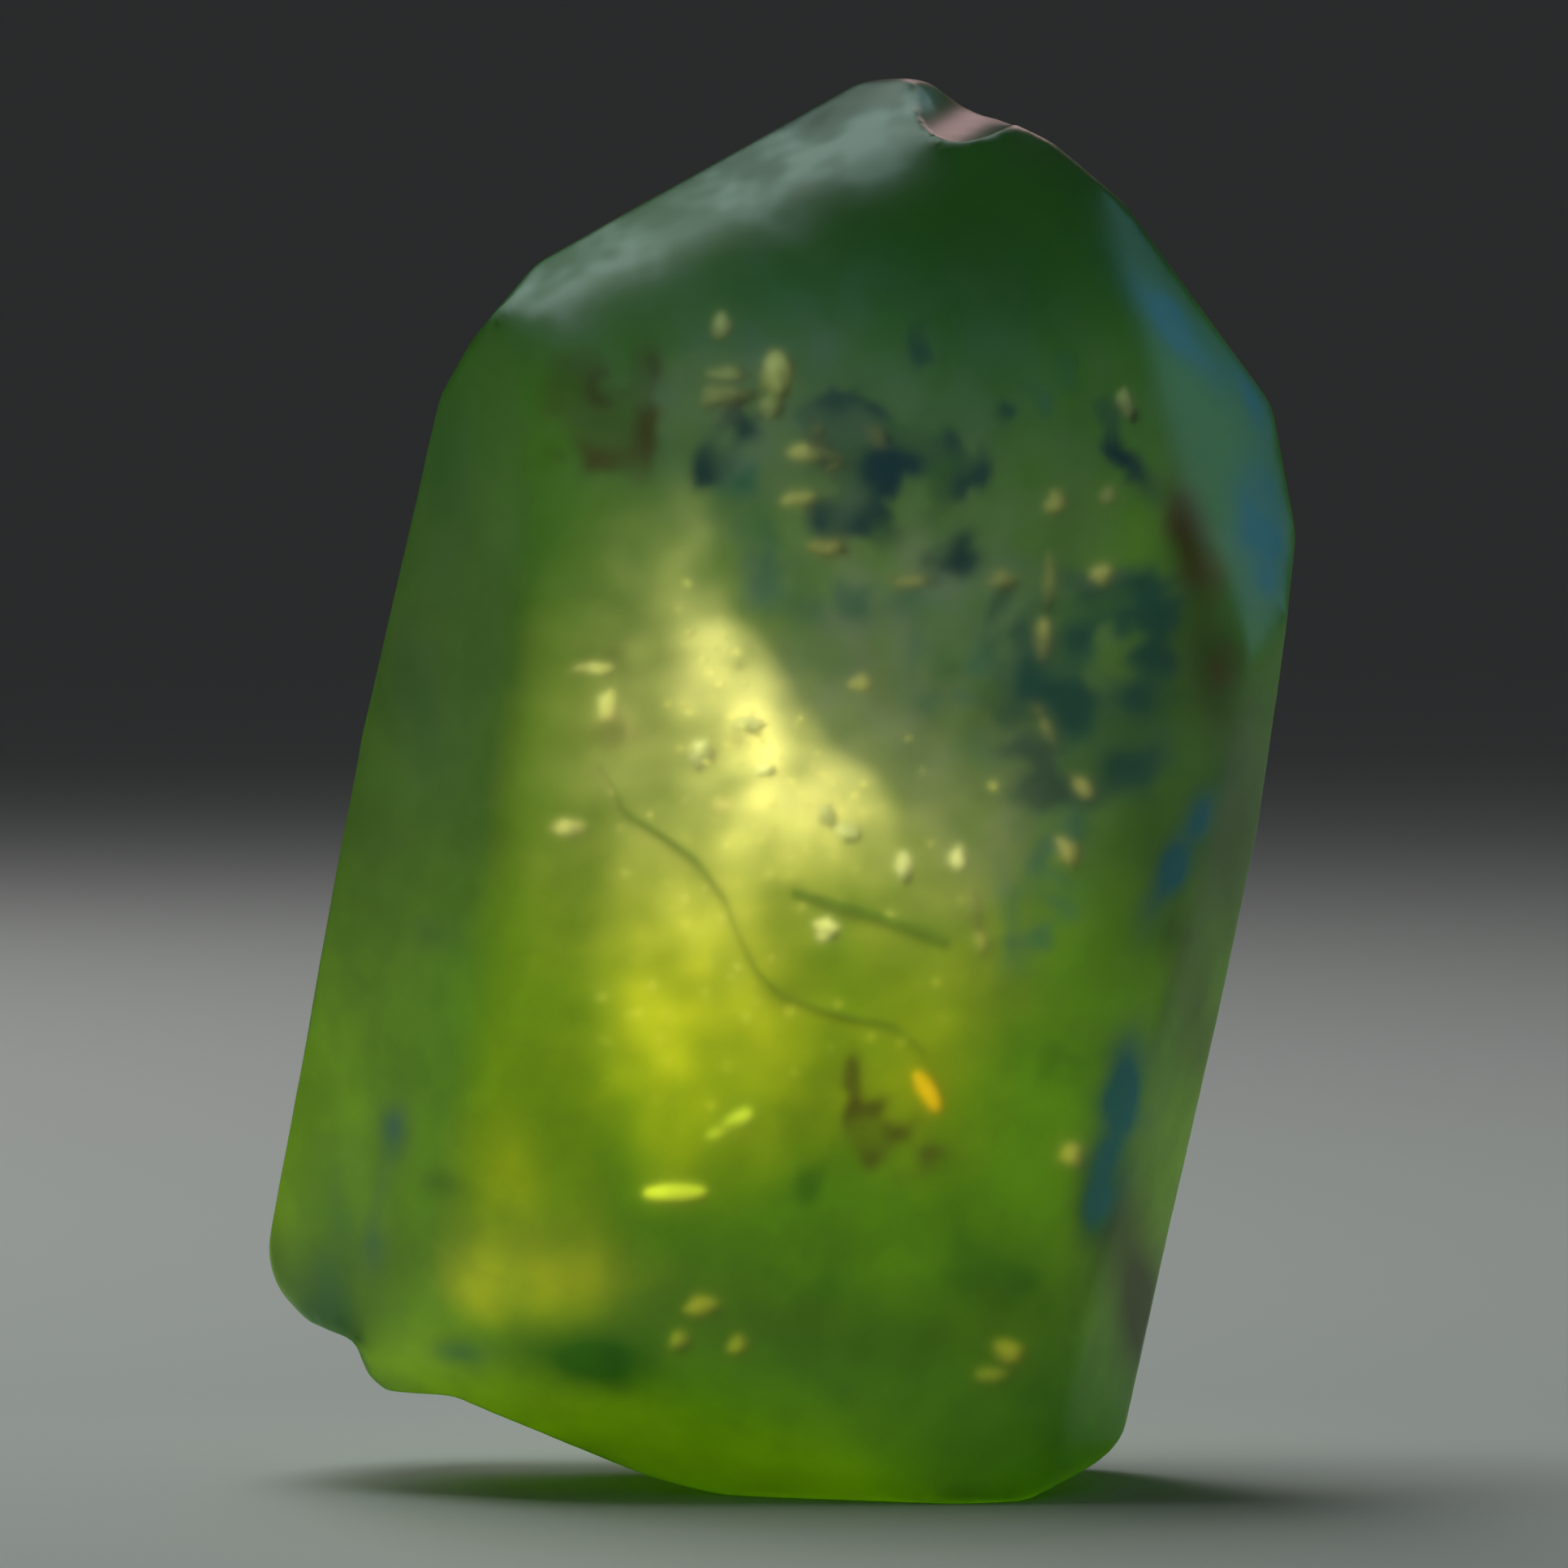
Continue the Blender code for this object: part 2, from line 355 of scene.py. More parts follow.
def frost_and_highlight(place, normal):
    """Where fine scratches make the skin white, with a painted highlight in the notch at the top."""
    column, row = picture_place(place)
    front = in_front(normal) * (1.0 - soft_step(*FROST_ENDS, place.y))
    spots = sum(oval(column, row, spot) for spot in FROST_AND_HIGHLIGHT_SPOTS) * front
    band = BAND_FROST * faces(normal, BAND_NORMAL, BAND_SPREAD) * soft_step(*BAND_FRONT, -normal.y)
    shoulder = SHOULDER_FROST * faces(normal, SHOULDER_NORMAL, SHOULDER_SPREAD)
    worn = 0.5 + 0.8 * noise.noise(place / SCRATCH_SIZE) + 0.5 * noise.noise(place / FINE_SCRATCH_SIZE)
    return min(max((spots + band + shoulder) * (0.55 + 0.6 * worn), 0.0), 1.0)


def painted_sheen(place, normal):
    """Where the skin gets a painted blue sheen, a painted reflection of the sky."""
    column, row = picture_place(place)
    broken = 0.8 + 0.7 * noise.noise(place / SHEEN_BREAK_SIZE)
    spots = sum(oval(column, row, spot) for spot in PAINTED_SHEEN_SPOTS)
    return min(max(in_front(normal) * broken * spots, 0.0), 1.0)


def shade(place, normal):
    """Where the skin is darker: stains, and painted shade along the sides and edges."""
    column, row = picture_place(place)
    spots = sum(oval(column, row, spot) for spot in SHADE_SPOTS)
    return min(max(in_front(normal) * spots, 0.0), 1.0)


for name, amount in (("shade", shade), ("frost_and_highlight", frost_and_highlight), ("painted_sheen", painted_sheen)):
    write_attribute(stone.data, name, [amount(v.co, v.normal) for v in stone.data.vertices])

# %% [markdown]
# Three more numbers vary slowly over the whole skin: the height that decides the tint and its painted
# shade, with some wander so that its steps don't end level, faint darker blotches, and how well the
# surface is polished.
# They could be noise textures, but a ray meets the skin many times on its way through clear stone, and a
# number on the points is much quicker to look up than a texture is to work out.

# %% Zones, blotches and polish
ZONE_SIZE = 3.8 * MM  # size of the noise that lets a zone's border wander
ZONE_WANDER = 2.0 * MM
BLOTCH_SIZE = 0.77 * MM
BLOTCH_EDGE = (-0.3, 0.3)
POLISH_SIZE = 3.1 * MM


def layers(place, size, count):
    """Noise of a given size with finer layers on top, about -1 to 1."""
    return noise.fractal(place / size, 1.0, 2.0, count) / (2.0 - 0.5 ** (count - 1))


def zone(place):
    """The height that decides the tint, with some wander."""
    return place.z + ZONE_WANDER * layers(place, ZONE_SIZE, 2)


def blotches(place):
    """Where the colour is a little darker, 0 to 1."""
    return soft_step(*BLOTCH_EDGE, layers(place, BLOTCH_SIZE, 3))


def wear(place):
    """How badly the skin is polished, 0 to 1."""
    return 0.5 + 0.5 * layers(place, POLISH_SIZE, 2)


for name, amount in (("zone", zone), ("blotches", blotches), ("wear", wear)):
    write_attribute(stone.data, name, [amount(v.co) for v in stone.data.vertices])

# %% [markdown]
# ## Helpers for shader nodes
# Materials here are built from nodes in code. Small helpers keep that readable: one adds a node and sets
# its sockets, one does a sum, one mixes two colours, and one turns a range into 0 to 1.

# %% Node helpers


def new_material(name):
    """A material with an empty node tree and an output."""
    material = bpy.data.materials.new(name)
    material.use_nodes = True
    tree = material.node_tree
    tree.nodes.clear()
    output = tree.nodes.new("ShaderNodeOutputMaterial")
    return material, tree, output


def plug(tree, socket, value):
    """Sets a socket, or links another socket to it."""
    if isinstance(value, bpy.types.NodeSocket):
        tree.links.new(value, socket)
    else:
        socket.default_value = value


def add(tree, kind, settings=None, **sockets):
    """Adds a node, sets its properties from a dictionary and its inputs by name."""
    made = tree.nodes.new(kind)
    for name, value in (settings or {}).items():
        setattr(made, name, value)
    for name, value in sockets.items():
        plug(tree, made.inputs[name.replace("_", " ")], value)
    return made


def maths(tree, operation, *values):
    """A Math node on values or sockets, and its result."""
    made = add(tree, "ShaderNodeMath", {"operation": operation})
    for socket, value in zip(made.inputs, values):
        plug(tree, socket, value)
    return made.outputs[0]


def between(tree, share, low, high):
    """A value that goes from low to high with share."""
    return maths(tree, "MULTIPLY_ADD", share, high - low, low)


def blend(tree, share, a, b):
    """A mix of two colours or colour sockets."""
    made = add(tree, "ShaderNodeMix", {"data_type": "RGBA"})
    factor, first, second = (made.inputs[i] for i in (0, 6, 7))
    for socket, value in ((factor, share), (first, a), (second, b)):
        plug(tree, socket, value)
    return made.outputs[2]


def ramp(tree, value, low, high):
    """0 below low, 1 above high, smooth between."""
    made = add(tree, "ShaderNodeMapRange", {"interpolation_type": "SMOOTHSTEP"}, Value=value)
    made.inputs["From Min"].default_value = low
    made.inputs["From Max"].default_value = high
    return made.outputs["Result"]


def mottling(tree, scale, detail=2.0):
    """Soft noise over the piece's own coordinates, 0 to 1."""
    place = add(tree, "ShaderNodeTexCoord").outputs["Object"]
    return add(tree, "ShaderNodeTexNoise", Vector=place, Scale=scale, Detail=detail).outputs["Fac"]


# %% [markdown]
# ## The stone's material
# Clear peridot bends light strongly (its index of refraction is about 1.67) and takes out blue over a
# few millimetres, so thin corners look pale and the middle lime. That is a Principled shader with
# transmission, and a plain Volume Absorption inside. The absorption is the same everywhere, because a
# closed volume needs one value. The stone in the picture isn't the same everywhere: it is lime at the
# foot and a dull bluish green at the top. So the skin gets a tint that changes with the height stored
# before, darker and bluer upwards. That darkening towards the top is painted shade.

# %% Colours of the stone
IOR = 1.67
ABSORPTION_COLOUR = (0.656, 0.836, 0.005, 1.0)
ABSORPTION_DENSITY = 450.0
FOOT_TINT = (0.40, 0.75, 0.01, 1.0)
LOW_TINT = (0.72, 0.90, 0.03, 1.0)
# the middle and high tints are darker: painted shade towards the top
MIDDLE_TINT = (0.55, 0.64, 0.40, 1.0)
HIGH_TINT = (0.05, 0.18, 0.16, 1.0)
FROST_COLOUR = (0.30, 0.52, 0.41, 1.0)
BRIGHT_FROST = (0.46, 0.68, 0.58, 1.0)
# colour of the painted blue sheen, a painted reflection
PAINTED_SHEEN_COLOUR = (0.05, 0.34, 0.52, 1.0)
SHADE_LOW = (0.05, 0.28, 0.005, 1.0)
SHADE_SIDE = (0.12, 0.10, 0.01, 1.0)
SIDE_START = 4.0 * MM  # right of this the stains and painted shade are brown, left of the middle they are green
# a tint reaches its full strength between two heights
TINT_STEPS = [
    (LOW_TINT, 1.0 * MM, 3.6 * MM),
    (MIDDLE_TINT, 5.0 * MM, 11.0 * MM),
    (HIGH_TINT, 10.5 * MM, 19.0 * MM),
]
BLOTCH_STRENGTH = 0.26
DARK_GREEN = (0.04, 0.17, 0.01, 1.0)
blue_loss = ABSORPTION_DENSITY * (1 - ABSORPTION_COLOUR[2])
print("share of blue left after 2 mm of stone:", round(math.exp(-blue_loss * 2 * MM), 2))

# %% [markdown]
# The skin's colour is built up in layers, like paint: first the tint with its blotches and its painted
# shade towards the top, then the stains and painted shade at the sides, then the frost with a painted
# highlight, then the painted blue sheen. Wherever the skin isn't clear, it also lets less light through.
# The whole surface is softly worn, so it is fairly rough, and everything inside is seen a little blurred.

# %% Layers of colour on the skin
CLEAR_SKIN = 0.98  # share of light that goes through
CLOUDY_SKIN = 0.25
STAIN_AND_SHADE_CLOUDING = 0.6  # stains and painted shade take away this much of the clearness that frost does
POLISH = (0.32, 0.44)  # roughness from the best worn places to the worst
FROST_ROUGHNESS = 0.2  # added where the skin is frosted
GRAIN = 5200.0  # fine grain, in cycles to the metre
GRAIN_HEIGHT = 0.01 * MM
GRAIN_STRENGTH = 0.15
WHITE_FROST = (0.5, 1.0)  # thicker frost than the first is brighter, fully so at the second


def attribute(tree, name):
    """The number that was stored on the mesh's points."""
    return add(tree, "ShaderNodeAttribute", {"attribute_name": name}).outputs["Fac"]


def skin_colour(tree, frost_and_highlight_share, painted_sheen_share):
    """Tint with painted shade by height, faint dark blotches, then stains and painted shade, frost and
    painted sheen.
    """
    place = add(tree, "ShaderNodeTexCoord").outputs["Object"]
    across = add(tree, "ShaderNodeSeparateXYZ", Vector=place).outputs["X"]
    height = attribute(tree, "zone")
    colour = FOOT_TINT
    for tint, low, high in TINT_STEPS:
        colour = blend(tree, ramp(tree, height, low, high), colour, tint)
    dark = maths(tree, "MULTIPLY", attribute(tree, "blotches"), BLOTCH_STRENGTH)
    colour = blend(tree, dark, colour, DARK_GREEN)
    stain_and_shade_colour = blend(tree, ramp(tree, across, 0.0, SIDE_START), SHADE_LOW, SHADE_SIDE)
    colour = blend(tree, attribute(tree, "shade"), colour, stain_and_shade_colour)
    frost_colour = blend(tree, ramp(tree, frost_and_highlight_share, *WHITE_FROST), FROST_COLOUR, BRIGHT_FROST)
    return blend(tree, painted_sheen_share, blend(tree, frost_and_highlight_share, colour, frost_colour), PAINTED_SHEEN_COLOUR)


# %% [markdown]
# One Principled shader is the whole surface. The numbers on the points decide its colour, its roughness
# and how much light goes through. A fine bump stands for grain that is too small for real relief. Volume
# Absorption sits alone on the volume output, so that thick parts are greener than thin ones.

# %% Peridot


def peridot():
    """Rough, clear, coloured stone."""
    material, tree, output = new_material("peridot")
    frost_and_highlight_share, painted_sheen_share = attribute(tree, "frost_and_highlight"), attribute(tree, "painted_sheen")
    stained_and_shaded = maths(tree, "MULTIPLY", attribute(tree, "shade"), STAIN_AND_SHADE_CLOUDING)
    worn = between(tree, attribute(tree, "wear"), *POLISH)
    rough = maths(tree, "ADD", worn, maths(tree, "MULTIPLY", frost_and_highlight_share, FROST_ROUGHNESS))
    cloudy = maths(tree, "MAXIMUM", maths(tree, "MAXIMUM", frost_and_highlight_share, painted_sheen_share), stained_and_shaded)
    fine = mottling(tree, GRAIN, 0.0)
    grain = add(tree, "ShaderNodeBump", Strength=GRAIN_STRENGTH, Distance=GRAIN_HEIGHT, Height=fine)
    shader = add(
        tree,
        "ShaderNodeBsdfPrincipled",
        Base_Color=skin_colour(tree, frost_and_highlight_share, painted_sheen_share),
        Roughness=rough,
        Normal=grain.outputs["Normal"],
        IOR=IOR,
        Transmission_Weight=between(tree, cloudy, CLEAR_SKIN, CLOUDY_SKIN),
    )
    depth = add(tree, "ShaderNodeVolumeAbsorption", Color=ABSORPTION_COLOUR, Density=ABSORPTION_DENSITY)
    tree.links.new(shader.outputs[0], output.inputs["Surface"])
    tree.links.new(depth.outputs[0], output.inputs["Volume"])
    return material


stone.data.materials.clear()
stone.data.materials.append(peridot())
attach(stone, "root")
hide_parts("peridot_crystal")
print("the stone's material has", len(stone.active_material.node_tree.nodes), "nodes")

# %% [markdown]
# ## The veils
# Healed cracks inside a crystal are sheets of tiny fluid drops. They look like smoke, and they glow
# where light falls on them from behind. A cloud of real drops would need millions of faces, and a
# scattering volume would make the glass heavy to render. So each veil is one thin wavy sheet, and how
# much it covers is a number on its points. A sheet ends before it reaches the skin: its cover fades to
# nothing there, and faces without cover are taken away. Fine noise thins and thickens the cover, so that
# the sheet looks like drops and not like fog.

# %% A sheet inside the stone
SKIN_MARGIN = 0.35 * MM  # nothing lies nearer to the skin than this
SKIN_FADE = 0.6 * MM  # and over this much more it comes to full strength
BARE = 0.01  # less cover than this can't be seen
DROP_SIZE = 0.67 * MM  # noise of this size thins and thickens a sheet
DROP_COVER = 0.95
DROP_VARIATION = 0.35
INSIDE = []  # all the flaws, for their own light later


def finished(name, bm, material):
    """Makes a mesh into a piece inside the stone."""
    obj = object_from(name, bm)
    obj.data.shade_smooth()
    obj.data.materials.append(material)
    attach(obj, "root")
    INSIDE.append(obj)
    print(name, "has", len(obj.data.polygons), "faces")


def depth_inside(place):
    """How far a place lies under the skin. Below 0 it is outside."""
    nearest, normal, _, distance = solid_tree.find_nearest(place)
    return distance if (place - nearest).dot(normal) < 0 else -distance


def veil(name, window, step, depth, strength, material):
    """A wavy sheet over a window of the picture: left, top, right, bottom. Two functions shape it."""
    left, top, right, bottom = window
    columns, rows = round((right - left) / step), round((bottom - top) / step)
    bm = bmesh.new()
    bmesh.ops.create_grid(bm, x_segments=columns, y_segments=rows, size=1.0)
    cover = bm.verts.layers.float.new("cover")
    for vert in bm.verts:
        column = left + (right - left) * (vert.co.x + 1) / 2
        row = top + (bottom - top) * (1 - vert.co.y) / 2
        vert.co = at(column, row, depth(column, row))
        amount = strength(column, row)
        if amount > 0:
            amount *= DROP_COVER + DROP_VARIATION * layers(vert.co, DROP_SIZE, 2)
            amount *= soft_step(SKIN_MARGIN, SKIN_MARGIN + SKIN_FADE, depth_inside(vert.co))
        vert[cover] = min(max(amount, 0.0), 1.0)
    bare = [f for f in bm.faces if max(v[cover] for v in f.verts) < BARE]
    bmesh.ops.delete(bm, geom=bare, context="FACES")
    bmesh.ops.recalc_face_normals(bm, faces=bm.faces)
    finished(name, bm, material)


# %% [markdown]
# A sheet of drops throws light back and also lets light through, so its shader mixes Diffuse with
# Translucent, and mixes both with Transparent by the cover. The colour changes where the lower half of
# the stone begins, because the stone is yellower there.

# %% What a sheet is made of
COLOUR_CHANGE = (7.2 * MM, 11.2 * MM)  # heights between which the lower colour gives way to the upper


def veil_material(name, upper, lower, through):
    """A sheet of drops: it scatters light to both sides, and hides what is behind it by its cover."""
    material, tree, output = new_material(name)
    cover = attribute(tree, "cover")
    place = add(tree, "ShaderNodeTexCoord").outputs["Object"]
    height = add(tree, "ShaderNodeSeparateXYZ", Vector=place).outputs["Z"]
    colour = blend(tree, ramp(tree, height, *COLOUR_CHANGE), lower, upper)
    front = add(tree, "ShaderNodeBsdfDiffuse", Color=colour).outputs[0]
    back = add(tree, "ShaderNodeBsdfTranslucent", Color=colour).outputs[0]
    clear = add(tree, "ShaderNodeBsdfTransparent").outputs[0]
    drops = add(tree, "ShaderNodeMixShader", Fac=through)
    tree.links.new(front, drops.inputs[1])
    tree.links.new(back, drops.inputs[2])
    sheet = add(tree, "ShaderNodeMixShader", Fac=cover)
    tree.links.new(clear, sheet.inputs[1])
    tree.links.new(drops.outputs[0], sheet.inputs[2])
    tree.links.new(sheet.outputs[0], output.inputs["Surface"])
    return material


# %% [markdown]
# ## The glow
# The brightest thing in the picture is a cream cloud in the middle of the stone, with a yellow tail
# below it. It is the thickest part of a healed crack, and its right side ends sharply where that crack
# meets another. Ovals give the soft cloud, a line of places cuts it off on the right, a wide halo
# surrounds it, and thin mist lies beside it.

# %% Where it glows
# row, column
GLOW_EDGE = [
    (640, 870), (700, 884), (760, 915), (800, 947), (840, 982), (880, 1006), (920, 1035), (960, 1085),
    (1000, 1120), (1060, 1190), (1120, 1225), (1250, 1240), (1400, 1150),
]
HALO = [
    (760, 640), (860, 630), (930, 770), (1010, 870), (1100, 960), (1220, 1060), (1235, 1200),
    (1130, 1330), (980, 1400), (820, 1440), (750, 1320), (715, 1150), (710, 900), (730, 740),
]
# middle column, middle row, half length, half width, turn, strength
GLOW_SPOTS = [
    (880, 805, 80, 46, 25, 0.33),
    (925, 885, 62, 52, 32, 0.46),
    (960, 990, 66, 84, -20, 0.44),
    (905, 1080, 90, 34, 15, 0.25),
    (840, 1120, 110, 42, 25, 0.23),
    (815, 1255, 50, 46, 0, 0.18),
    (790, 1200, 110, 52, 20, 0.04),
    (930, 1240, 90, 46, 10, 0.10),
    (1060, 990, 80, 100, 30, 0.19),
    (840, 1380, 70, 50, 0, 0.05),
    (800, 900, 90, 60, 20, 0.10),
    (850, 660, 60, 30, -15, 0.07),
]
MIST_SPOTS = [
    (1075, 880, 115, 80, 30, 0.050),
    (1200, 1000, 110, 90, 0, 0.045),
    (1050, 660, 80, 110, 0, 0.020),
    (900, 500, 90, 90, 0, 0.025),
]
print("the glow is drawn with", len(GLOW_SPOTS), "ovals, and its mist with", len(MIST_SPOTS))

# %% [markdown]
# Two functions shape the sheet. One adds up the clouds, cuts them off at the edge, and adds the halo and
# the mist. Slow noise warps them all a little, because nothing in a stone is a true oval. The other one
# puts the sheet just under the front faces, where the picture shows the glow most sharply.

# %% The glowing veil
HALO_COVER = 0.10
HALO_SOFTNESS = 75
CLOUD_COVER = 1.30
GLOW_WARP, WARP_SIZE = 12, 60  # in pixels of the picture, as are the next three
EDGE_WIDTH = 12
EDGE_SPREAD = 50  # how much softer the glow's edge gets
EDGE_ROWS = (880, 1100)  # and the rows between which it does
GLOW_DEPTH = -3.2
GLOW_DROP = 0.4  # millimetres that the glow lies deeper below
DROP_ROWS = (950, 1150)
WAVE, WAVE_SIZE = 0.2, 160  # millimetres that a sheet waves in depth, and pixels from wave to wave
GLOW_WINDOW = (600, 360, 1400, 1480)
GLOW_STEP = 8  # pixels of the picture between the points of the sheet
CREAM = (1.0, 0.80, 0.46, 1.0)
YELLOW = (1.0, 0.78, 0.09, 1.0)
SHINES_THROUGH = 0.3  # share of the light that comes out on the far side of a sheet


def slow_noise(column, row, width, length, seed):
    """Noise over the picture, about -1 to 1, with waves of a width and a length in pixels."""
    return noise.noise(Vector((column / width, row / length, seed)))


def along_edge(row):
    """The column of the glow's right edge on a row of the picture."""
    for (top, a), (bottom, b) in zip(GLOW_EDGE, GLOW_EDGE[1:]):
        if row <= bottom:
            return a + (b - a) * min(max((row - top) / (bottom - top), 0.0), 1.0)
    return GLOW_EDGE[-1][1]


def glow_strength(column, row):
    """Bright clouds with a sharp right edge, in a soft halo, with mist beside them."""
    warp = GLOW_WARP * slow_noise(column, row, WARP_SIZE, WARP_SIZE, 5.0)
    uneven = 1.0 + 0.55 * slow_noise(column, row, 48, 36, 2.0)
    column, row = column + warp, row - warp
    width = EDGE_WIDTH + EDGE_SPREAD * soft_step(*EDGE_ROWS, row)
    edge = 1.0 - soft_step(-width, width, column - along_edge(row))
    clouds = sum(oval(column, row, spot) for spot in GLOW_SPOTS)
    mist = sum(oval(column, row, spot) for spot in MIST_SPOTS)
    halo = HALO_COVER * patch(column, row, HALO, HALO_SOFTNESS)
    return uneven * (halo + mist + CLOUD_COVER * clouds * edge)


def glow_depth(column, row):
    """Just under the front faces, and a little deeper below."""
    level = GLOW_DEPTH + GLOW_DROP * soft_step(*DROP_ROWS, row)
    return level + WAVE * slow_noise(column, row, WAVE_SIZE, WAVE_SIZE, 0.3)


cream = veil_material("glow_veil", CREAM, YELLOW, SHINES_THROUGH)
veil("glow_veil", GLOW_WINDOW, GLOW_STEP, glow_depth, glow_strength, cream)

# %% [markdown]
# ## The warm side
# Left of the glow, down to the foot, the stone is honey yellow. That is a thin film of iron stain in
# another healed crack. It covers far less than the glow, and is drawn as a long soft patch with streaks.

# %% Warm side
WARM_SIDE = [
    (690, 760), (665, 900), (645, 1050), (622, 1250), (596, 1450), (566, 1605), (700, 1610), (745, 1500),
    (735, 1350), (690, 1200), (720, 1000), (740, 860),
]
WARM_SPOTS = [
    (604, 1556, 44, 34, -10, 0.10),
    (690, 1555, 40, 90, 0, 0.09),
    (1130, 1330, 90, 80, 0, 0.06),
    (800, 1150, 190, 70, 8, 0.07),
    (640, 1470, 90, 50, 0, 0.05),
]
WARM_COVER = 0.042
WARM_SOFTNESS = 44
WARM_DEPTH = -2.9
WARM_WINDOW = (480, 700, 1300, 1740)
WARM_STEP = 10
HONEY = (0.95, 0.78, 0.22, 1.0)
DEEP_HONEY = (1.0, 0.70, 0.02, 1.0)


def warm_strength(column, row):
    """A long streaky patch, and a few soft ovals."""
    streaks = 1.0 + 0.6 * slow_noise(column, row, 45, 160, 8.0)
    side = WARM_COVER * patch(column, row, WARM_SIDE, WARM_SOFTNESS)
    return streaks * (side + sum(oval(column, row, spot) for spot in WARM_SPOTS))


def warm_depth(column, row):
    """Behind the glow."""
    return WARM_DEPTH + WAVE * slow_noise(column, row, WAVE_SIZE, WAVE_SIZE, 6.3)


honey = veil_material("warm_veil", HONEY, DEEP_HONEY, SHINES_THROUGH)
veil("warm_veil", WARM_WINDOW, WARM_STEP, warm_depth, warm_strength, honey)

# %% [markdown]
# ## Haze
# The upper half of the stone isn't clear but milky, with fine grey-green smoke in it, and faint streaks
# run through the whole body. One sheet of haze lies just behind the glow, and a second one far back in
# the stone. The far one is seen through more green stone, and gives the inside its depth when the
# crystal is turned. Both are wide and faint.

# %% Haze
HAZE = [
    (1110, 660, 280, 320, 0, 1.0),
    (900, 500, 120, 150, 0, 0.62),
    (1060, 850, 120, 90, 0, 1.15),
    (1200, 1040, 160, 130, 0, 0.95),
    (1040, 660, 90, 70, 0, 0.40),
]
BODY_WINDOW = (330, 100, 1590, 1820)
HAZE_UPPER = (0.100, 0.118, 0.170, 1.0)
HAZE_LOWER = (0.14, 0.15, 0.08, 1.0)
FAR_UPPER = (0.30, 0.50, 0.10, 1.0)
FAR_LOWER = (0.45, 0.62, 0.04, 1.0)
FAR_COVER = 0.20
HAZE_STEP, FAR_STEP = 11, 14
HAZE_THROUGH = 0.5  # haze lets half of its light out on the far side
BASE, WISPS, SMOKE = 0.15, 0.35, 0.30  # what the near haze is made of
NEAR_DEPTH, NEAR_WAVE_SIZE = -2.8, 380
FAR_DEPTH, FAR_WAVE, FAR_WAVE_SIZE = 2.0, 0.8, 420
STREAK_SLANT = 0.19  # columns that a far streak moves right on each row down


def wisps(column, row, seed, width=170, length=260):
    """Smoke-like streaks along the crystal, around 0.5."""
    warp = slow_noise(column, row, 210, 210, seed)
    return 0.5 + 0.9 * noise.noise(Vector((column / width + warp, row / length + warp, seed + 4.0)))


def near_strength(column, row):
    """Soft ovals, broken into slow wisps and fine smoke."""
    fine = 0.5 + 0.9 * slow_noise(column, row, 38, 46, 12.0)
    smoke = BASE + WISPS * wisps(column, row, 1.0) + SMOKE * fine
    return smoke * sum(oval(column, row, spot) for spot in HAZE)


def near_depth(column, row):
    """Just behind the glow, so that its darkness never covers the light."""
    return NEAR_DEPTH + WAVE * slow_noise(column, row, NEAR_WAVE_SIZE, NEAR_WAVE_SIZE, 7.0)


def far_strength(column, row):
    """Long slanting streaks, stronger in the lower half, and gone at the foot."""
    lower = 1.0 + 0.6 * soft_step(850, 1300, row) - 1.1 * soft_step(1480, 1760, row)
    streaks = wisps(column - STREAK_SLANT * row, row, 9.0, 60, 420)
    return FAR_COVER * lower * (0.25 + 0.6 * streaks)


def far_depth(column, row):
    """Well behind the middle of the stone."""
    return FAR_DEPTH + FAR_WAVE * slow_noise(column, row, FAR_WAVE_SIZE, FAR_WAVE_SIZE, 3.0)


smoky = veil_material("near_haze", HAZE_UPPER, HAZE_LOWER, HAZE_THROUGH)
veil("near_haze", BODY_WINDOW, HAZE_STEP, near_depth, near_strength, smoky)
milky = veil_material("far_haze", FAR_UPPER, FAR_LOWER, HAZE_THROUGH)
veil("far_haze", BODY_WINDOW, FAR_STEP, far_depth, far_strength, milky)

# %% [markdown]
# ## Small bodies in the stone
# Peridot is known for its flat, drop-shaped flaws, often called lily pads. A flattened sphere is their
# true form, so a small icosphere is squashed, turned and placed for each one, and noise pushes its
# points about, because a perfect ellipsoid looks made. All drops of a kind are joined in one mesh. Below
# are two helpers: one adds a drop, and one makes a plain stony colour with slight mottling.

# %% Drops and their colour
LUMPS = 1.6  # waves of the noise along a drop's radius
STONY = 0.5  # roughness of the small bodies
MOTTLING = 2600.0  # in cycles to the metre
MOTTLING_EDGE = (0.35, 0.65)
carrier = bpy.data.meshes.new("carrier")  # carries each drop from its own bmesh to the joined one


def lens(bm, column, row, depth, length, width, turn, thickness=0.3, ragged=0.0, tilt=0.0, detail=2):
    """Adds a flat drop-shaped pocket. Half sizes in pixels of the picture, turn as for the ovals."""
    size = Matrix.Diagonal((width * PIXEL, width * PIXEL * thickness, length * PIXEL, 1.0))
    turned = Matrix.Rotation(math.radians(-turn), 4, "Y") @ Matrix.Rotation(math.radians(tilt), 4, "Z")
    drop = bmesh.new()
    bmesh.ops.create_icosphere(drop, subdivisions=detail, radius=1.0)
    if ragged:
        for vert in drop.verts:
            vert.co *= 1.0 + ragged * noise.noise(vert.co * LUMPS + Vector((column, row, 0.0)))
    drop.transform(Matrix.Translation(at(column, row, depth)) @ turned @ size)
    drop.to_mesh(carrier)
    drop.free()
    bm.from_mesh(carrier)


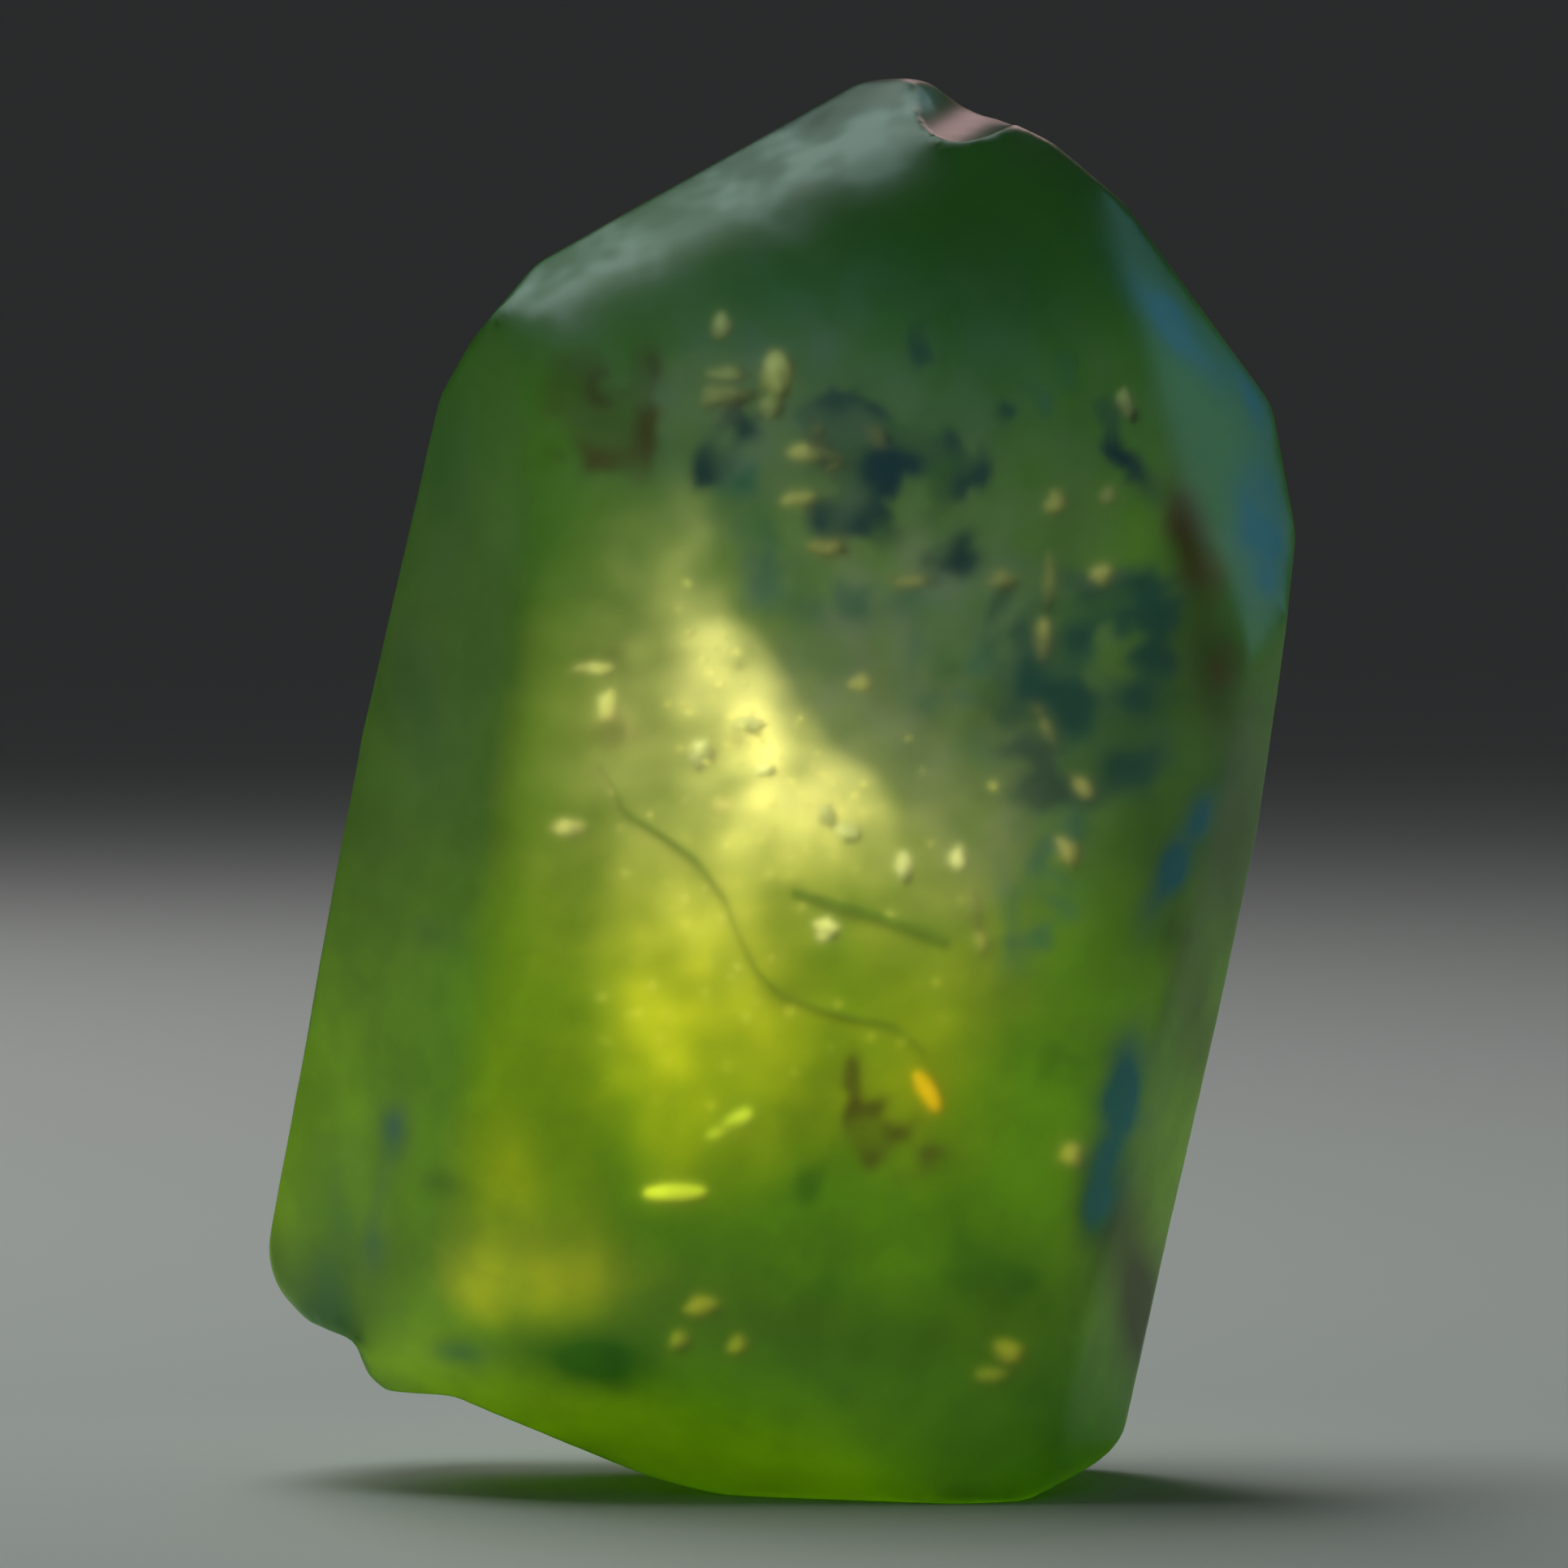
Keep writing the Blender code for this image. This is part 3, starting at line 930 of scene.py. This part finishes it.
def plain(name, colour, variation=0.25):
    """A stony colour, with patches that are darker by the share called variation."""
    material, tree, output = new_material(name)
    darker = tuple(c * (1 - variation) for c in colour[:3]) + (1.0,)
    patches = ramp(tree, mottling(tree, MOTTLING), *MOTTLING_EDGE)
    patchy = blend(tree, patches, darker, colour)
    shader = add(tree, "ShaderNodeBsdfPrincipled", Base_Color=patchy, Roughness=STONY)
    tree.links.new(shader.outputs[0], output.inputs["Surface"])
    return material


# %% [markdown]
# ## Pale specks
# About forty pale specks lie in the stone, most of them in the upper and right part, each with its own
# place, size and turn in the picture. They differ in brightness, because some lie in the glow and others
# deep in the haze. So they are sorted into four kinds by brightness, and each kind gets a lighter or
# darker colour: painted light and shade on one kind of drop. The dim ones also lie deeper, where the
# stone blurs them.

# %% Places of the specks
# column, row, half length, half width, turn, brightness
SPECKS = [
    (743, 817, 9, 22, 0, 0.86), (756, 862, 20, 12, 0, 0.86), (866, 921, 13, 20, 70, 1.0),
    (925, 884, 12, 18, 0, 1.0), (943, 938, 9, 14, 0, 1.0), (714, 1010, 10, 20, 0, 0.86),
    (1018, 995, 12, 13, 20, 1.0), (1043, 1014, 13, 13, 0, 1.0), (1111, 1058, 17, 12, 0, 1.0),
    (1176, 1050, 17, 11, 10, 1.0), (1309, 1041, 20, 12, 24, 0.8), (1326, 960, 16, 9, 40, 0.8),
    (1286, 892, 24, 6, 25, 0.6), (1271, 860, 14, 10, 20, 0.8), (1280, 783, 26, 11, -3, 0.8),
    (1288, 716, 30, 6, 0, 0.4), (1349, 704, 11, 13, 0, 0.7), (1294, 624, 12, 13, 0, 0.7),
    (1354, 617, 9, 9, 0, 0.4), (983, 617, 10, 20, 0, 0.8), (1000, 563, 12, 34, -6, 0.8),
    (1028, 575, 10, 14, 30, 0.7), (960, 470, 30, 20, 0, 0.7), (950, 510, 18, 12, 0, 0.4),
    (891, 414, 15, 12, 0, 0.5), (893, 497, 14, 30, 0, 0.4), (897, 470, 8, 24, 0, 0.35),
    (1206, 1150, 14, 8, 20, 0.6), (1018, 1133, 13, 16, 30, 0.9), (870, 1586, 10, 20, 0, 0.8),
    (914, 1632, 10, 12, 0, 0.6), (846, 1622, 10, 13, 0, 0.6), (1232, 1644, 15, 13, 0, 0.8),
    (1308, 1405, 13, 12, 0, 0.7), (891, 982, 9, 14, 0, 0.8), (1063, 835, 10, 15, 0, 0.5),
    (1080, 552, 26, 12, 25, 0.4), (1018, 672, 10, 24, 0, 0.5), (1120, 712, 8, 26, 0, 0.4),
    (1232, 712, 9, 18, 0, 0.4), (1371, 505, 20, 8, 20, 0.4), (1198, 1105, 24, 6, 10, 0.4),
    (1215, 1672, 8, 20, 0, 0.4), (1005, 540, 10, 10, 0, 0.4),
]
# brightness from, to, depth in millimetres, colour
# the four colours are painted light and shade: the same drops, lighter where they lie in the glow
SPECK_KINDS = {
    "dim_specks": (0.0, 0.45, -2.95, (0.16, 0.145, 0.095, 1.0)),
    "tan_specks": (0.45, 0.85, -2.95, (0.27, 0.225, 0.13, 1.0)),
    "pale_specks": (0.85, 0.88, -3.2, (0.46, 0.40, 0.21, 1.0)),
    "bright_specks": (0.88, 1.1, -3.35, (0.60, 0.54, 0.35, 1.0)),
}
print(len(SPECKS), "specks")

# %% [markdown]
# Each kind is one joined mesh, with one depth and one colour. That is simpler than a colour for each
# speck, and it keeps the bright ones in front of the dim ones.

# %% The specks as drops
SPECK_THICKNESS = 0.4  # as a share of the width
for group, (low, high, depth, colour) in SPECK_KINDS.items():
    bm = bmesh.new()
    for column, row, length, width, turn, shine in SPECKS:
        if low <= shine < high:
            lens(bm, column, row, depth, length, width, turn, thickness=SPECK_THICKNESS, ragged=0.9)
    finished(group, bm, plain(group, colour, variation=0.5))

# %% [markdown]
# ## Dashes and a spark
# Low in the stone are two bright dashes, which are drops seen on their edge, and right of the middle is
# one orange spark, a grain of iron stain. They are made like the specks, only longer and smoother.

# %% Bright dashes and the orange spark
# column, row, depth in millimetres, half length, half width, turn, thickness, raggedness
BRIGHT_DASHES = [
    (836, 1452, -3.3, 13, 42, 0, 0.3, 0.15),
    (912, 1364, -2.9, 10, 22, 25, 0.3, 0.5),
    (884, 1382, -2.8, 7, 14, 25, 0.3, 0.5),
]
ORANGE_SPARK = [(1140, 1330, -3.2, 30, 11, 28, 0.4, 0.2)]
DASH_COLOUR = (0.50, 0.50, 0.19, 1.0)
SPARK_COLOUR = (0.58, 0.30, 0.01, 1.0)
for group, drops, colour in (
    ("bright_dashes", BRIGHT_DASHES, DASH_COLOUR),
    ("orange_spark", ORANGE_SPARK, SPARK_COLOUR),
):
    bm = bmesh.new()
    for drop in drops:
        lens(bm, *drop)
    finished(group, bm, plain(group, colour))

# %% [markdown]
# ## Dark films
# Some healed cracks hold dark films: deep blue ones at the top, a ring of bluish green on the right,
# brown ones on the left, and green shadows in the lower half. A few faint brown ovals are painted shadow
# under specks. The films have no thickness to speak of and ragged borders, so each colour is one sheet,
# drawn with ovals like the veils and then torn. First come their places, then the sheets.

# %% Places of the dark films
BLUE_FILMS = [
    (1036, 524, 32, 58, 0, 1.6), (1058, 590, 66, 34, 14, 1.6), (1152, 576, 38, 54, -15, 1.6),
    (1044, 638, 26, 42, 0, 1.1), (914, 522, 22, 28, 0, 0.9), (880, 582, 36, 28, 0, 0.9),
    (1136, 428, 34, 24, 0, 0.8), (1366, 434, 56, 22, 5, 0.9), (1354, 520, 60, 14, 8, 0.9),
    (1388, 590, 40, 16, 30, 0.9), (1166, 678, 34, 36, 0, 0.9), (1238, 500, 30, 24, 0, 0.6),
]
TEAL_FILMS = [
    (900, 600, 50, 36, -10, 0.9), (934, 680, 70, 26, 8, 1.0), (980, 730, 30, 46, 0, 0.7),
    (1070, 730, 34, 80, 0, 0.6), (1130, 830, 60, 70, 20, 0.6), (1260, 1120, 70, 66, 0, 0.8),
    (1290, 1020, 50, 50, 0, 0.6), (1210, 800, 60, 30, 0, 0.6), (1230, 930, 40, 60, 0, 0.5),
    (1300, 480, 60, 40, 0, 0.5),
]
RING_FILMS = [
    (1252, 850, 130, 38, 6, 1.3), (1358, 730, 32, 66, 0, 1.5), (1400, 850, 110, 28, -4, 1.4),
    (1350, 885, 46, 60, 20, 1.5), (1306, 850, 90, 24, -10, 1.3), (1300, 760, 26, 26, 0, 0.9),
    (1355, 950, 34, 50, 0, 0.9),
]
BROWN_FILMS_AND_SHADOWS = [
    (716, 505, 60, 30, 4, 0.9), (797, 512, 72, 22, 0, 1.2), (764, 556, 30, 50, 0, 0.9),
    (758, 490, 60, 30, 0, 0.5), (1460, 662, 66, 32, 14, 1.4), (1070, 1380, 50, 60, 0, 0.8),
    (900, 812, 12, 22, 0, 0.6), (911, 900, 12, 12, 0, 0.6), (850, 886, 18, 12, 30, 0.5),
    # the faint ovals from (760, 800) to (800, 900) are painted shadow under the specks there
    (846, 834, 12, 14, 0, 0.5), (1490, 810, 26, 22, 0, 0.9), (760, 800, 50, 40, 0, 0.3),
    (800, 900, 60, 36, 10, 0.35), (740, 900, 70, 26, 0, 0.3), (1140, 1420, 20, 30, 30, 0.8),
    (1050, 1320, 50, 12, 0, 0.7),
]
GREEN_FILMS = [
    (540, 1140, 16, 30, 0, 1.0), (555, 1443, 18, 34, 0, 0.9), (1175, 1540, 44, 44, 0, 0.9),
    (520, 1310, 26, 30, 40, 0.9), (1440, 1230, 160, 22, 14, 0.8), (1010, 1560, 40, 90, 0, 0.5),
    (1080, 1700, 34, 70, 0, 0.5), (1250, 1560, 90, 40, 10, 0.5), (880, 1520, 30, 70, 0, 0.6),
    (700, 1390, 60, 30, 0, 0.5), (1000, 1440, 70, 30, 0, 0.5), (1290, 1300, 60, 40, 0, 0.6),
    (620, 1640, 24, 60, 0, 0.7), (760, 1655, 30, 70, 0, 0.8),
]
# places, window of the picture, depth in millimetres, colour
FILMS = {
    "blue_films": (BLUE_FILMS, (800, 340, 1460, 760), -3.35, (0.006, 0.020, 0.042, 1.0)),
    "teal_films": (TEAL_FILMS, (780, 400, 1420, 1240), -2.9, (0.020, 0.060, 0.080, 1.0)),
    "ring_films": (RING_FILMS, (1180, 660, 1480, 1020), -3.0, (0.006, 0.028, 0.044, 1.0)),
    "brown_films_and_shadows": (BROWN_FILMS_AND_SHADOWS, (620, 400, 1560, 1480), -3.3, (0.036, 0.027, 0.014, 1.0)),
    "green_films": (GREEN_FILMS, (440, 980, 1500, 1760), -2.9, (0.020, 0.060, 0.002, 1.0)),
}
print(sum(len(kind[0]) for kind in FILMS.values()), "ovals for the films")

# %% [markdown]
# To tear a sheet, strong noise is added to its cover before it is cut off, which leaves ragged islands
# with holes. This is done on the sheet's own points, which lie close together. The noise is read at
# places that slower noise has stirred, so that the islands curl as they like and don't follow the net.

# %% The films as sheets
FILM_STEP = 6
FILM_START = 0.05  # the outermost faint part of the ovals is left off
FILM_WAVE, FILM_WAVE_SIZE = 0.35, 150  # millimetres that a film waves in depth, and pixels
TEAR_SIZE = 0.48 * MM
TEAR = 1.7  # how far the noise moves a film's edge
TEAR_LEVEL = 0.45  # cover at which a film ends, before the noise moves that edge
TEAR_STIR = 0.30 * MM  # the islands are stirred by this much, so that they follow no grid
TEAR_EDGE = (-0.3, 0.3)
THIN_EDGE = 0.5  # a film is thinner where its ovals give less than this
FADE_SIZE = 0.67 * MM
FADE_EDGE = (-0.3, 0.3)
FADED = 0.45  # cover where a film is most faded
STIR_SEED = 1  # without a seed the stirring comes out differently in every run
noise.seed_set(STIR_SEED)


def torn(cover, place):
    """The cover of a film at a place, with ragged edges and holes."""
    stirred = to_crystal @ place + TEAR_STIR * noise.noise_vector(place / FADE_SIZE)
    ragged = cover - TEAR_LEVEL + TEAR * layers(stirred, TEAR_SIZE, 3)
    islands = soft_step(*TEAR_EDGE, ragged) * soft_step(0.0, THIN_EDGE, cover)
    return islands * (FADED + (1.0 - FADED) * soft_step(*FADE_EDGE, layers(place, FADE_SIZE, 1)))


def film(name, spots, window, depth, colour):
    """A dark film that lies in a healed crack, as ragged patches."""

    def strength(column, row):
        cover = sum(oval(column, row, spot) for spot in spots) - FILM_START
        return torn(cover, at(column, row, depth)) if cover > 0 else 0.0

    def wavy(column, row):
        return depth + FILM_WAVE * slow_noise(column, row, FILM_WAVE_SIZE, FILM_WAVE_SIZE, depth)

    dark = veil_material(name, colour, colour, SHINES_THROUGH)
    veil(name, window, FILM_STEP, wavy, strength, dark)


for name, (spots, window, depth, colour) in FILMS.items():
    film(name, spots, window, depth, colour)

# %% [markdown]
# ## Open cracks
# Thin dark lines cross the glow. They are open cracks, seen on their edge, and from the side each is a
# narrow wavy sheet that goes back into the stone. A grid is bent along a line of places, and the
# Solidify operator gives it its thickness. It goes back farther in its middle than at its ends.

# %% Cracks
CRACK_DEPTH = -3.4  # millimetres behind the middle, where each crack starts
CRACK_REACH = 0.8  # millimetres that it goes back into the stone
CRACK_SINK = 7  # pixels that it leans down on the way
CRACK_SWAY = 9  # pixels that it waves to either side
CRACK_ENDS = 0.25  # share of its reach that is left at both ends
CRACK_STEPS = 8  # points of the net from one place to the next
CRACK_ROWS = 6
CRACK_COLOUR = (0.070, 0.110, 0.020, 1.0)
# thickness in millimetres, then places in the picture
CRACKS = [
    (0.110, [(765, 960), (775, 985), (820, 1015), (862, 1045), (895, 1090), (915, 1140), (935, 1180)]),
    (0.070, [
        (915, 1140), (935, 1180), (965, 1208), (1020, 1228), (1100, 1245), (1135, 1275), (1160, 1330),
    ]),
    (0.160, [(975, 1080), (1010, 1090), (1060, 1105), (1110, 1120), (1165, 1142)]),
    (0.030, [(745, 930), (765, 960)]),
]


def crack(bm, line, depth, reach, thickness):
    """A wavy sheet along a line in the picture that goes back into the stone, seen on its edge."""
    points = [Vector(p) for p in line]
    last = len(points) - 1
    steps = CRACK_STEPS * last
    grid = bmesh.ops.create_grid(bm, x_segments=steps, y_segments=CRACK_ROWS, size=1.0)["verts"]
    for vert in grid:
        along = (vert.co.x + 1) / 2
        t = along * last
        stretch = min(int(t), last - 1)
        spot = points[stretch].lerp(points[stretch + 1], t - stretch)
        taper = CRACK_ENDS + (1 - CRACK_ENDS) * math.sin(math.pi * along)
        back = taper * (vert.co.y + 1) / 2
        sway = CRACK_SWAY * noise.noise(Vector((t * 0.7, back * 1.5, depth))) * back
        vert.co = at(spot.x + sway, spot.y + CRACK_SINK * back + sway, depth + reach * back)
    faces_made = list(dict.fromkeys(f for v in grid for f in v.link_faces))
    bmesh.ops.solidify(bm, geom=faces_made, thickness=thickness * MM)


bm = bmesh.new()
for thickness, line in CRACKS:
    crack(bm, line, CRACK_DEPTH, CRACK_REACH, thickness)
finished("cracks", bm, plain("cracks", CRACK_COLOUR))

# %% [markdown]
# ## Motes in the glow
# Close up, the glow is grainy with tiny drops. Two hundred are enough to break its smoothness. They
# are scattered by chance, and more of them where the glow is strong: a place is tried, and kept only if
# a second throw of the dice is below the glow's strength there. The dice have a fixed seed, so the same
# motes come out each time. Each has few faces, because it is hardly larger than a point.

# %% Motes
MOTES = 200
MOTE_COLUMNS, MOTE_ROWS = (560, 1400), (560, 1650)
MOTE_DEPTH = (-0.1, 0.12)  # millimetres from the glow's sheet: the middle, and how far they scatter
MOTE_SIZES = (1.5, 4.0)  # half lengths in pixels
MOTE_COLOUR = (0.70, 0.58, 0.26, 1.0)
dice = random.Random(7)
bm = bmesh.new()
placed = 0
while placed < MOTES:
    column, row = dice.uniform(*MOTE_COLUMNS), dice.uniform(*MOTE_ROWS)
    chance = min(glow_strength(column, row), 1.0) ** 2
    if dice.random() > chance:
        continue
    depth = glow_depth(column, row) + dice.gauss(*MOTE_DEPTH)
    size = dice.uniform(*MOTE_SIZES)
    width, turn, tilt = size * dice.uniform(1.0, 2.0), dice.uniform(-40, 40), dice.uniform(-30, 30)
    lens(bm, column, row, depth, size, width, turn, SPECK_THICKNESS, tilt=tilt, detail=1)
    placed += 1
finished("motes", bm, plain("motes", MOTE_COLOUR))

# %% [markdown]
# ## The floor
# A photographer's sweep: a plain pale floor that bends up into a wall without an edge. It is a disc
# whose rim is extruded outwards and upwards in small steps along a quarter circle. Without it the
# horizon would show through the clear stone as a hard line.

# %% Floor
FLOOR_COLOUR = (0.72, 0.72, 0.70, 1.0)
FLOOR_ROUGHNESS = 0.7
FLOOR_SIDES = 96
FLOOR_RADIUS = 0.50
SWEEP_RADIUS = 0.60  # the floor bends up into a round wall, far behind the cameras
SWEEP_STEPS = 12


def matt(name, colour, roughness):
    """A plain painted surface."""
    material, tree, output = new_material(name)
    shader = add(tree, "ShaderNodeBsdfPrincipled", Base_Color=colour, Roughness=roughness)
    tree.links.new(shader.outputs[0], output.inputs["Surface"])
    return material


bm = bmesh.new()
bmesh.ops.create_circle(bm, cap_ends=True, segments=FLOOR_SIDES, radius=FLOOR_RADIUS)
rim_edges = list(bm.edges)
for step in range(1, SWEEP_STEPS + 1):
    angle = math.radians(90 * step / SWEEP_STEPS)
    made = bmesh.ops.extrude_edge_only(bm, edges=rim_edges)["geom"]
    ring = [v for v in made if isinstance(v, bmesh.types.BMVert)]
    rim_edges = [e for e in made if isinstance(e, bmesh.types.BMEdge)]
    for vert in ring:
        outward = Vector((vert.co.x, vert.co.y, 0.0)).normalized()
        vert.co = outward * (FLOOR_RADIUS + SWEEP_RADIUS * math.sin(angle))
        vert.co.z = SWEEP_RADIUS * (1 - math.cos(angle))
bmesh.ops.recalc_face_normals(bm, faces=bm.faces)
if max(f.normal.z for f in bm.faces) <= 0:
    bmesh.ops.reverse_faces(bm, faces=bm.faces)
floor = object_from("floor", bm)
floor.data.shade_smooth()
floor.data.materials.append(matt("pale_floor", FLOOR_COLOUR, FLOOR_ROUGHNESS))
print("the floor and its sweep have", len(floor.data.polygons), "faces")

# %% [markdown]
# ## Lights on the stone
# A large soft light above gives the frosted band its sheen and the floor its shadow. A blue one on the
# right makes the edge with the painted blue sheen shine, a weak one on the left keeps that side from
# going black, and a small pink one behind draws the bright spots in the notch. These three reach the
# stone alone, by light linking, because the floor should stay plain. One more lights the floor behind,
# and a dim panel at the back of the stone stands for the light that enters a real crystal from behind.

# %% Lights
STONE_MIDDLE = (0, 0, 11)
WHITE, COOL, SKY = (1.0, 1.0, 1.0), (0.88, 1.0, 0.96), (0.32, 0.76, 1.0)
PINK, WARM = (1.0, 0.62, 0.66), (1.0, 0.95, 0.85)
# place, aim, width, height, power, colour
LAMPS = {
    "overhead": ((-30, 25, 135), STONE_MIDDLE, 110, 70, 0.06, COOL),
    "right": ((130, 10, 62), STONE_MIDDLE, 60, 90, 0.022, SKY),
    "left": ((-150, 0, 40), STONE_MIDDLE, 70, 90, 0.004, WHITE),
    "rim": ((25, 120, 92), STONE_MIDDLE, 40, 20, 0.015, PINK),
    "floor_glow": ((-80, 140, 110), (-70, 80, 0), 120, 120, 0.07, WHITE),
    "back": ((-0.4, 16.5, 10.2), (-0.4, 0, 10.2), 5, 9, 0.00006, WARM),
}


def softbox(name, place, aim, width, height, power, colour):
    """A rectangular area light that faces a point. Places and sizes in millimetres, power in watts."""
    light = bpy.data.lights.new(name, "AREA")
    light.shape = "RECTANGLE"
    light.size = width * MM
    light.size_y = height * MM
    light.energy = power
    light.color = colour
    obj = bpy.data.objects.new(name, light)
    obj.location = Vector(place) * MM
    toward = Vector(aim) * MM - obj.location
    obj.rotation_euler = toward.to_track_quat("-Z", "Y").to_euler()
    bpy.context.scene.collection.objects.link(obj)
    return obj


lamps = {name: softbox(name, *values) for name, values in LAMPS.items()}
lamps["rim"].visible_transmission = False
lamps["floor_glow"].visible_transmission = False
lamps["floor_glow"].visible_glossy = False
lamps["back"].visible_camera = False

skin = bpy.data.collections.new("skin")
skin.objects.link(stone)
for name in ("right", "left", "rim"):
    lamps[name].light_linking.receiver_collection = skin
print("lights so far:", list(lamps))

# %% [markdown]
# ## Light on the flaws
# In a real crystal the light reaches the flaws by thousands of bends and bounces, which a renderer finds
# only slowly and with much noise. So the flaws get two lights of their own, which pass through the skin
# as if it weren't there. They cast no shadows and light nothing else. What the camera sees of the flaws
# still goes through the skin and the green stone, and is bent, blurred and coloured by them.

# %% Light on the flaws
FLAW_LAMP_SIZE = 60  # millimetres
FLAW_LAMP_COLOUR = (1.0, 0.97, 0.92)
flaws = bpy.data.collections.new("flaws")
for flaw in INSIDE:
    flaws.objects.link(flaw)


def flaw_light(name, place, power):
    """A softbox that reaches the flaws alone, as if the skin weren't there."""
    size, colour = FLAW_LAMP_SIZE, FLAW_LAMP_COLOUR
    lamp = softbox(name, place, STONE_MIDDLE, size, size, power, colour)
    lamp.light_linking.receiver_collection = flaws
    lamp.data.use_shadow = False
    lamp.visible_camera = False
    lamp.visible_transmission = False
    lamp.visible_glossy = False


flaw_light("flaw_light_front", (-40, -80, 60), 0.42)
flaw_light("flaw_light_back", (-20, 80, 60), 0.10)

# %% [markdown]
# ## The room
# A little plain grey light comes from everywhere, so that no side of the stone is black. It is kept
# weak, because strong even light would hide the relief and the sheen.

# %% The room's own light
ROOM_LIGHT = 0.07
ROOM_COLOUR = (0.5, 0.52, 0.55, 1.0)
world = bpy.data.worlds.new("studio")
world.use_nodes = True
background = world.node_tree.nodes["Background"]
background.inputs["Color"].default_value = ROOM_COLOUR
background.inputs["Strength"].default_value = ROOM_LIGHT
bpy.context.scene.world = world
print("the room gives", ROOM_LIGHT, "of a plain grey light")

# %% [markdown]
# ## The camera
# The picture shows the crystal from straight in front, with hardly any perspective, so the camera is far
# away with a long lens. It looks down by only two degrees, which keeps the foot as it is seen there. The
# distance follows from the lens: the picture's width at the stone must just fill the sensor.

# %% Camera
PICTURE_SIZE = 1932
PICTURE_MIDDLE = at(PICTURE_SIZE / 2, PICTURE_SIZE / 2, 0)
LENS = 300.0  # lens and sensor in millimetres
SENSOR = 36.0
ELEVATION = math.radians(2.0)
NEAREST, FARTHEST = 0.01, 20.0  # metres between which the camera sees
distance = PICTURE_SIZE * PIXEL * LENS / SENSOR
camera_data = bpy.data.cameras.new("camera")
camera_data.lens = LENS
camera_data.sensor_width = SENSOR
camera_data.clip_start = NEAREST
camera_data.clip_end = FARTHEST
camera = bpy.data.objects.new("camera", camera_data)
away = Vector((0, -math.cos(ELEVATION), math.sin(ELEVATION)))
camera.location = PICTURE_MIDDLE + away * distance
camera.rotation_euler = (-away).to_track_quat("-Z", "Y").to_euler()
bpy.context.scene.collection.objects.link(camera)
bpy.context.scene.camera = camera
bpy.context.scene.view_settings.view_transform = "Standard"
print("the camera stands", round(distance, 3), "m in front")
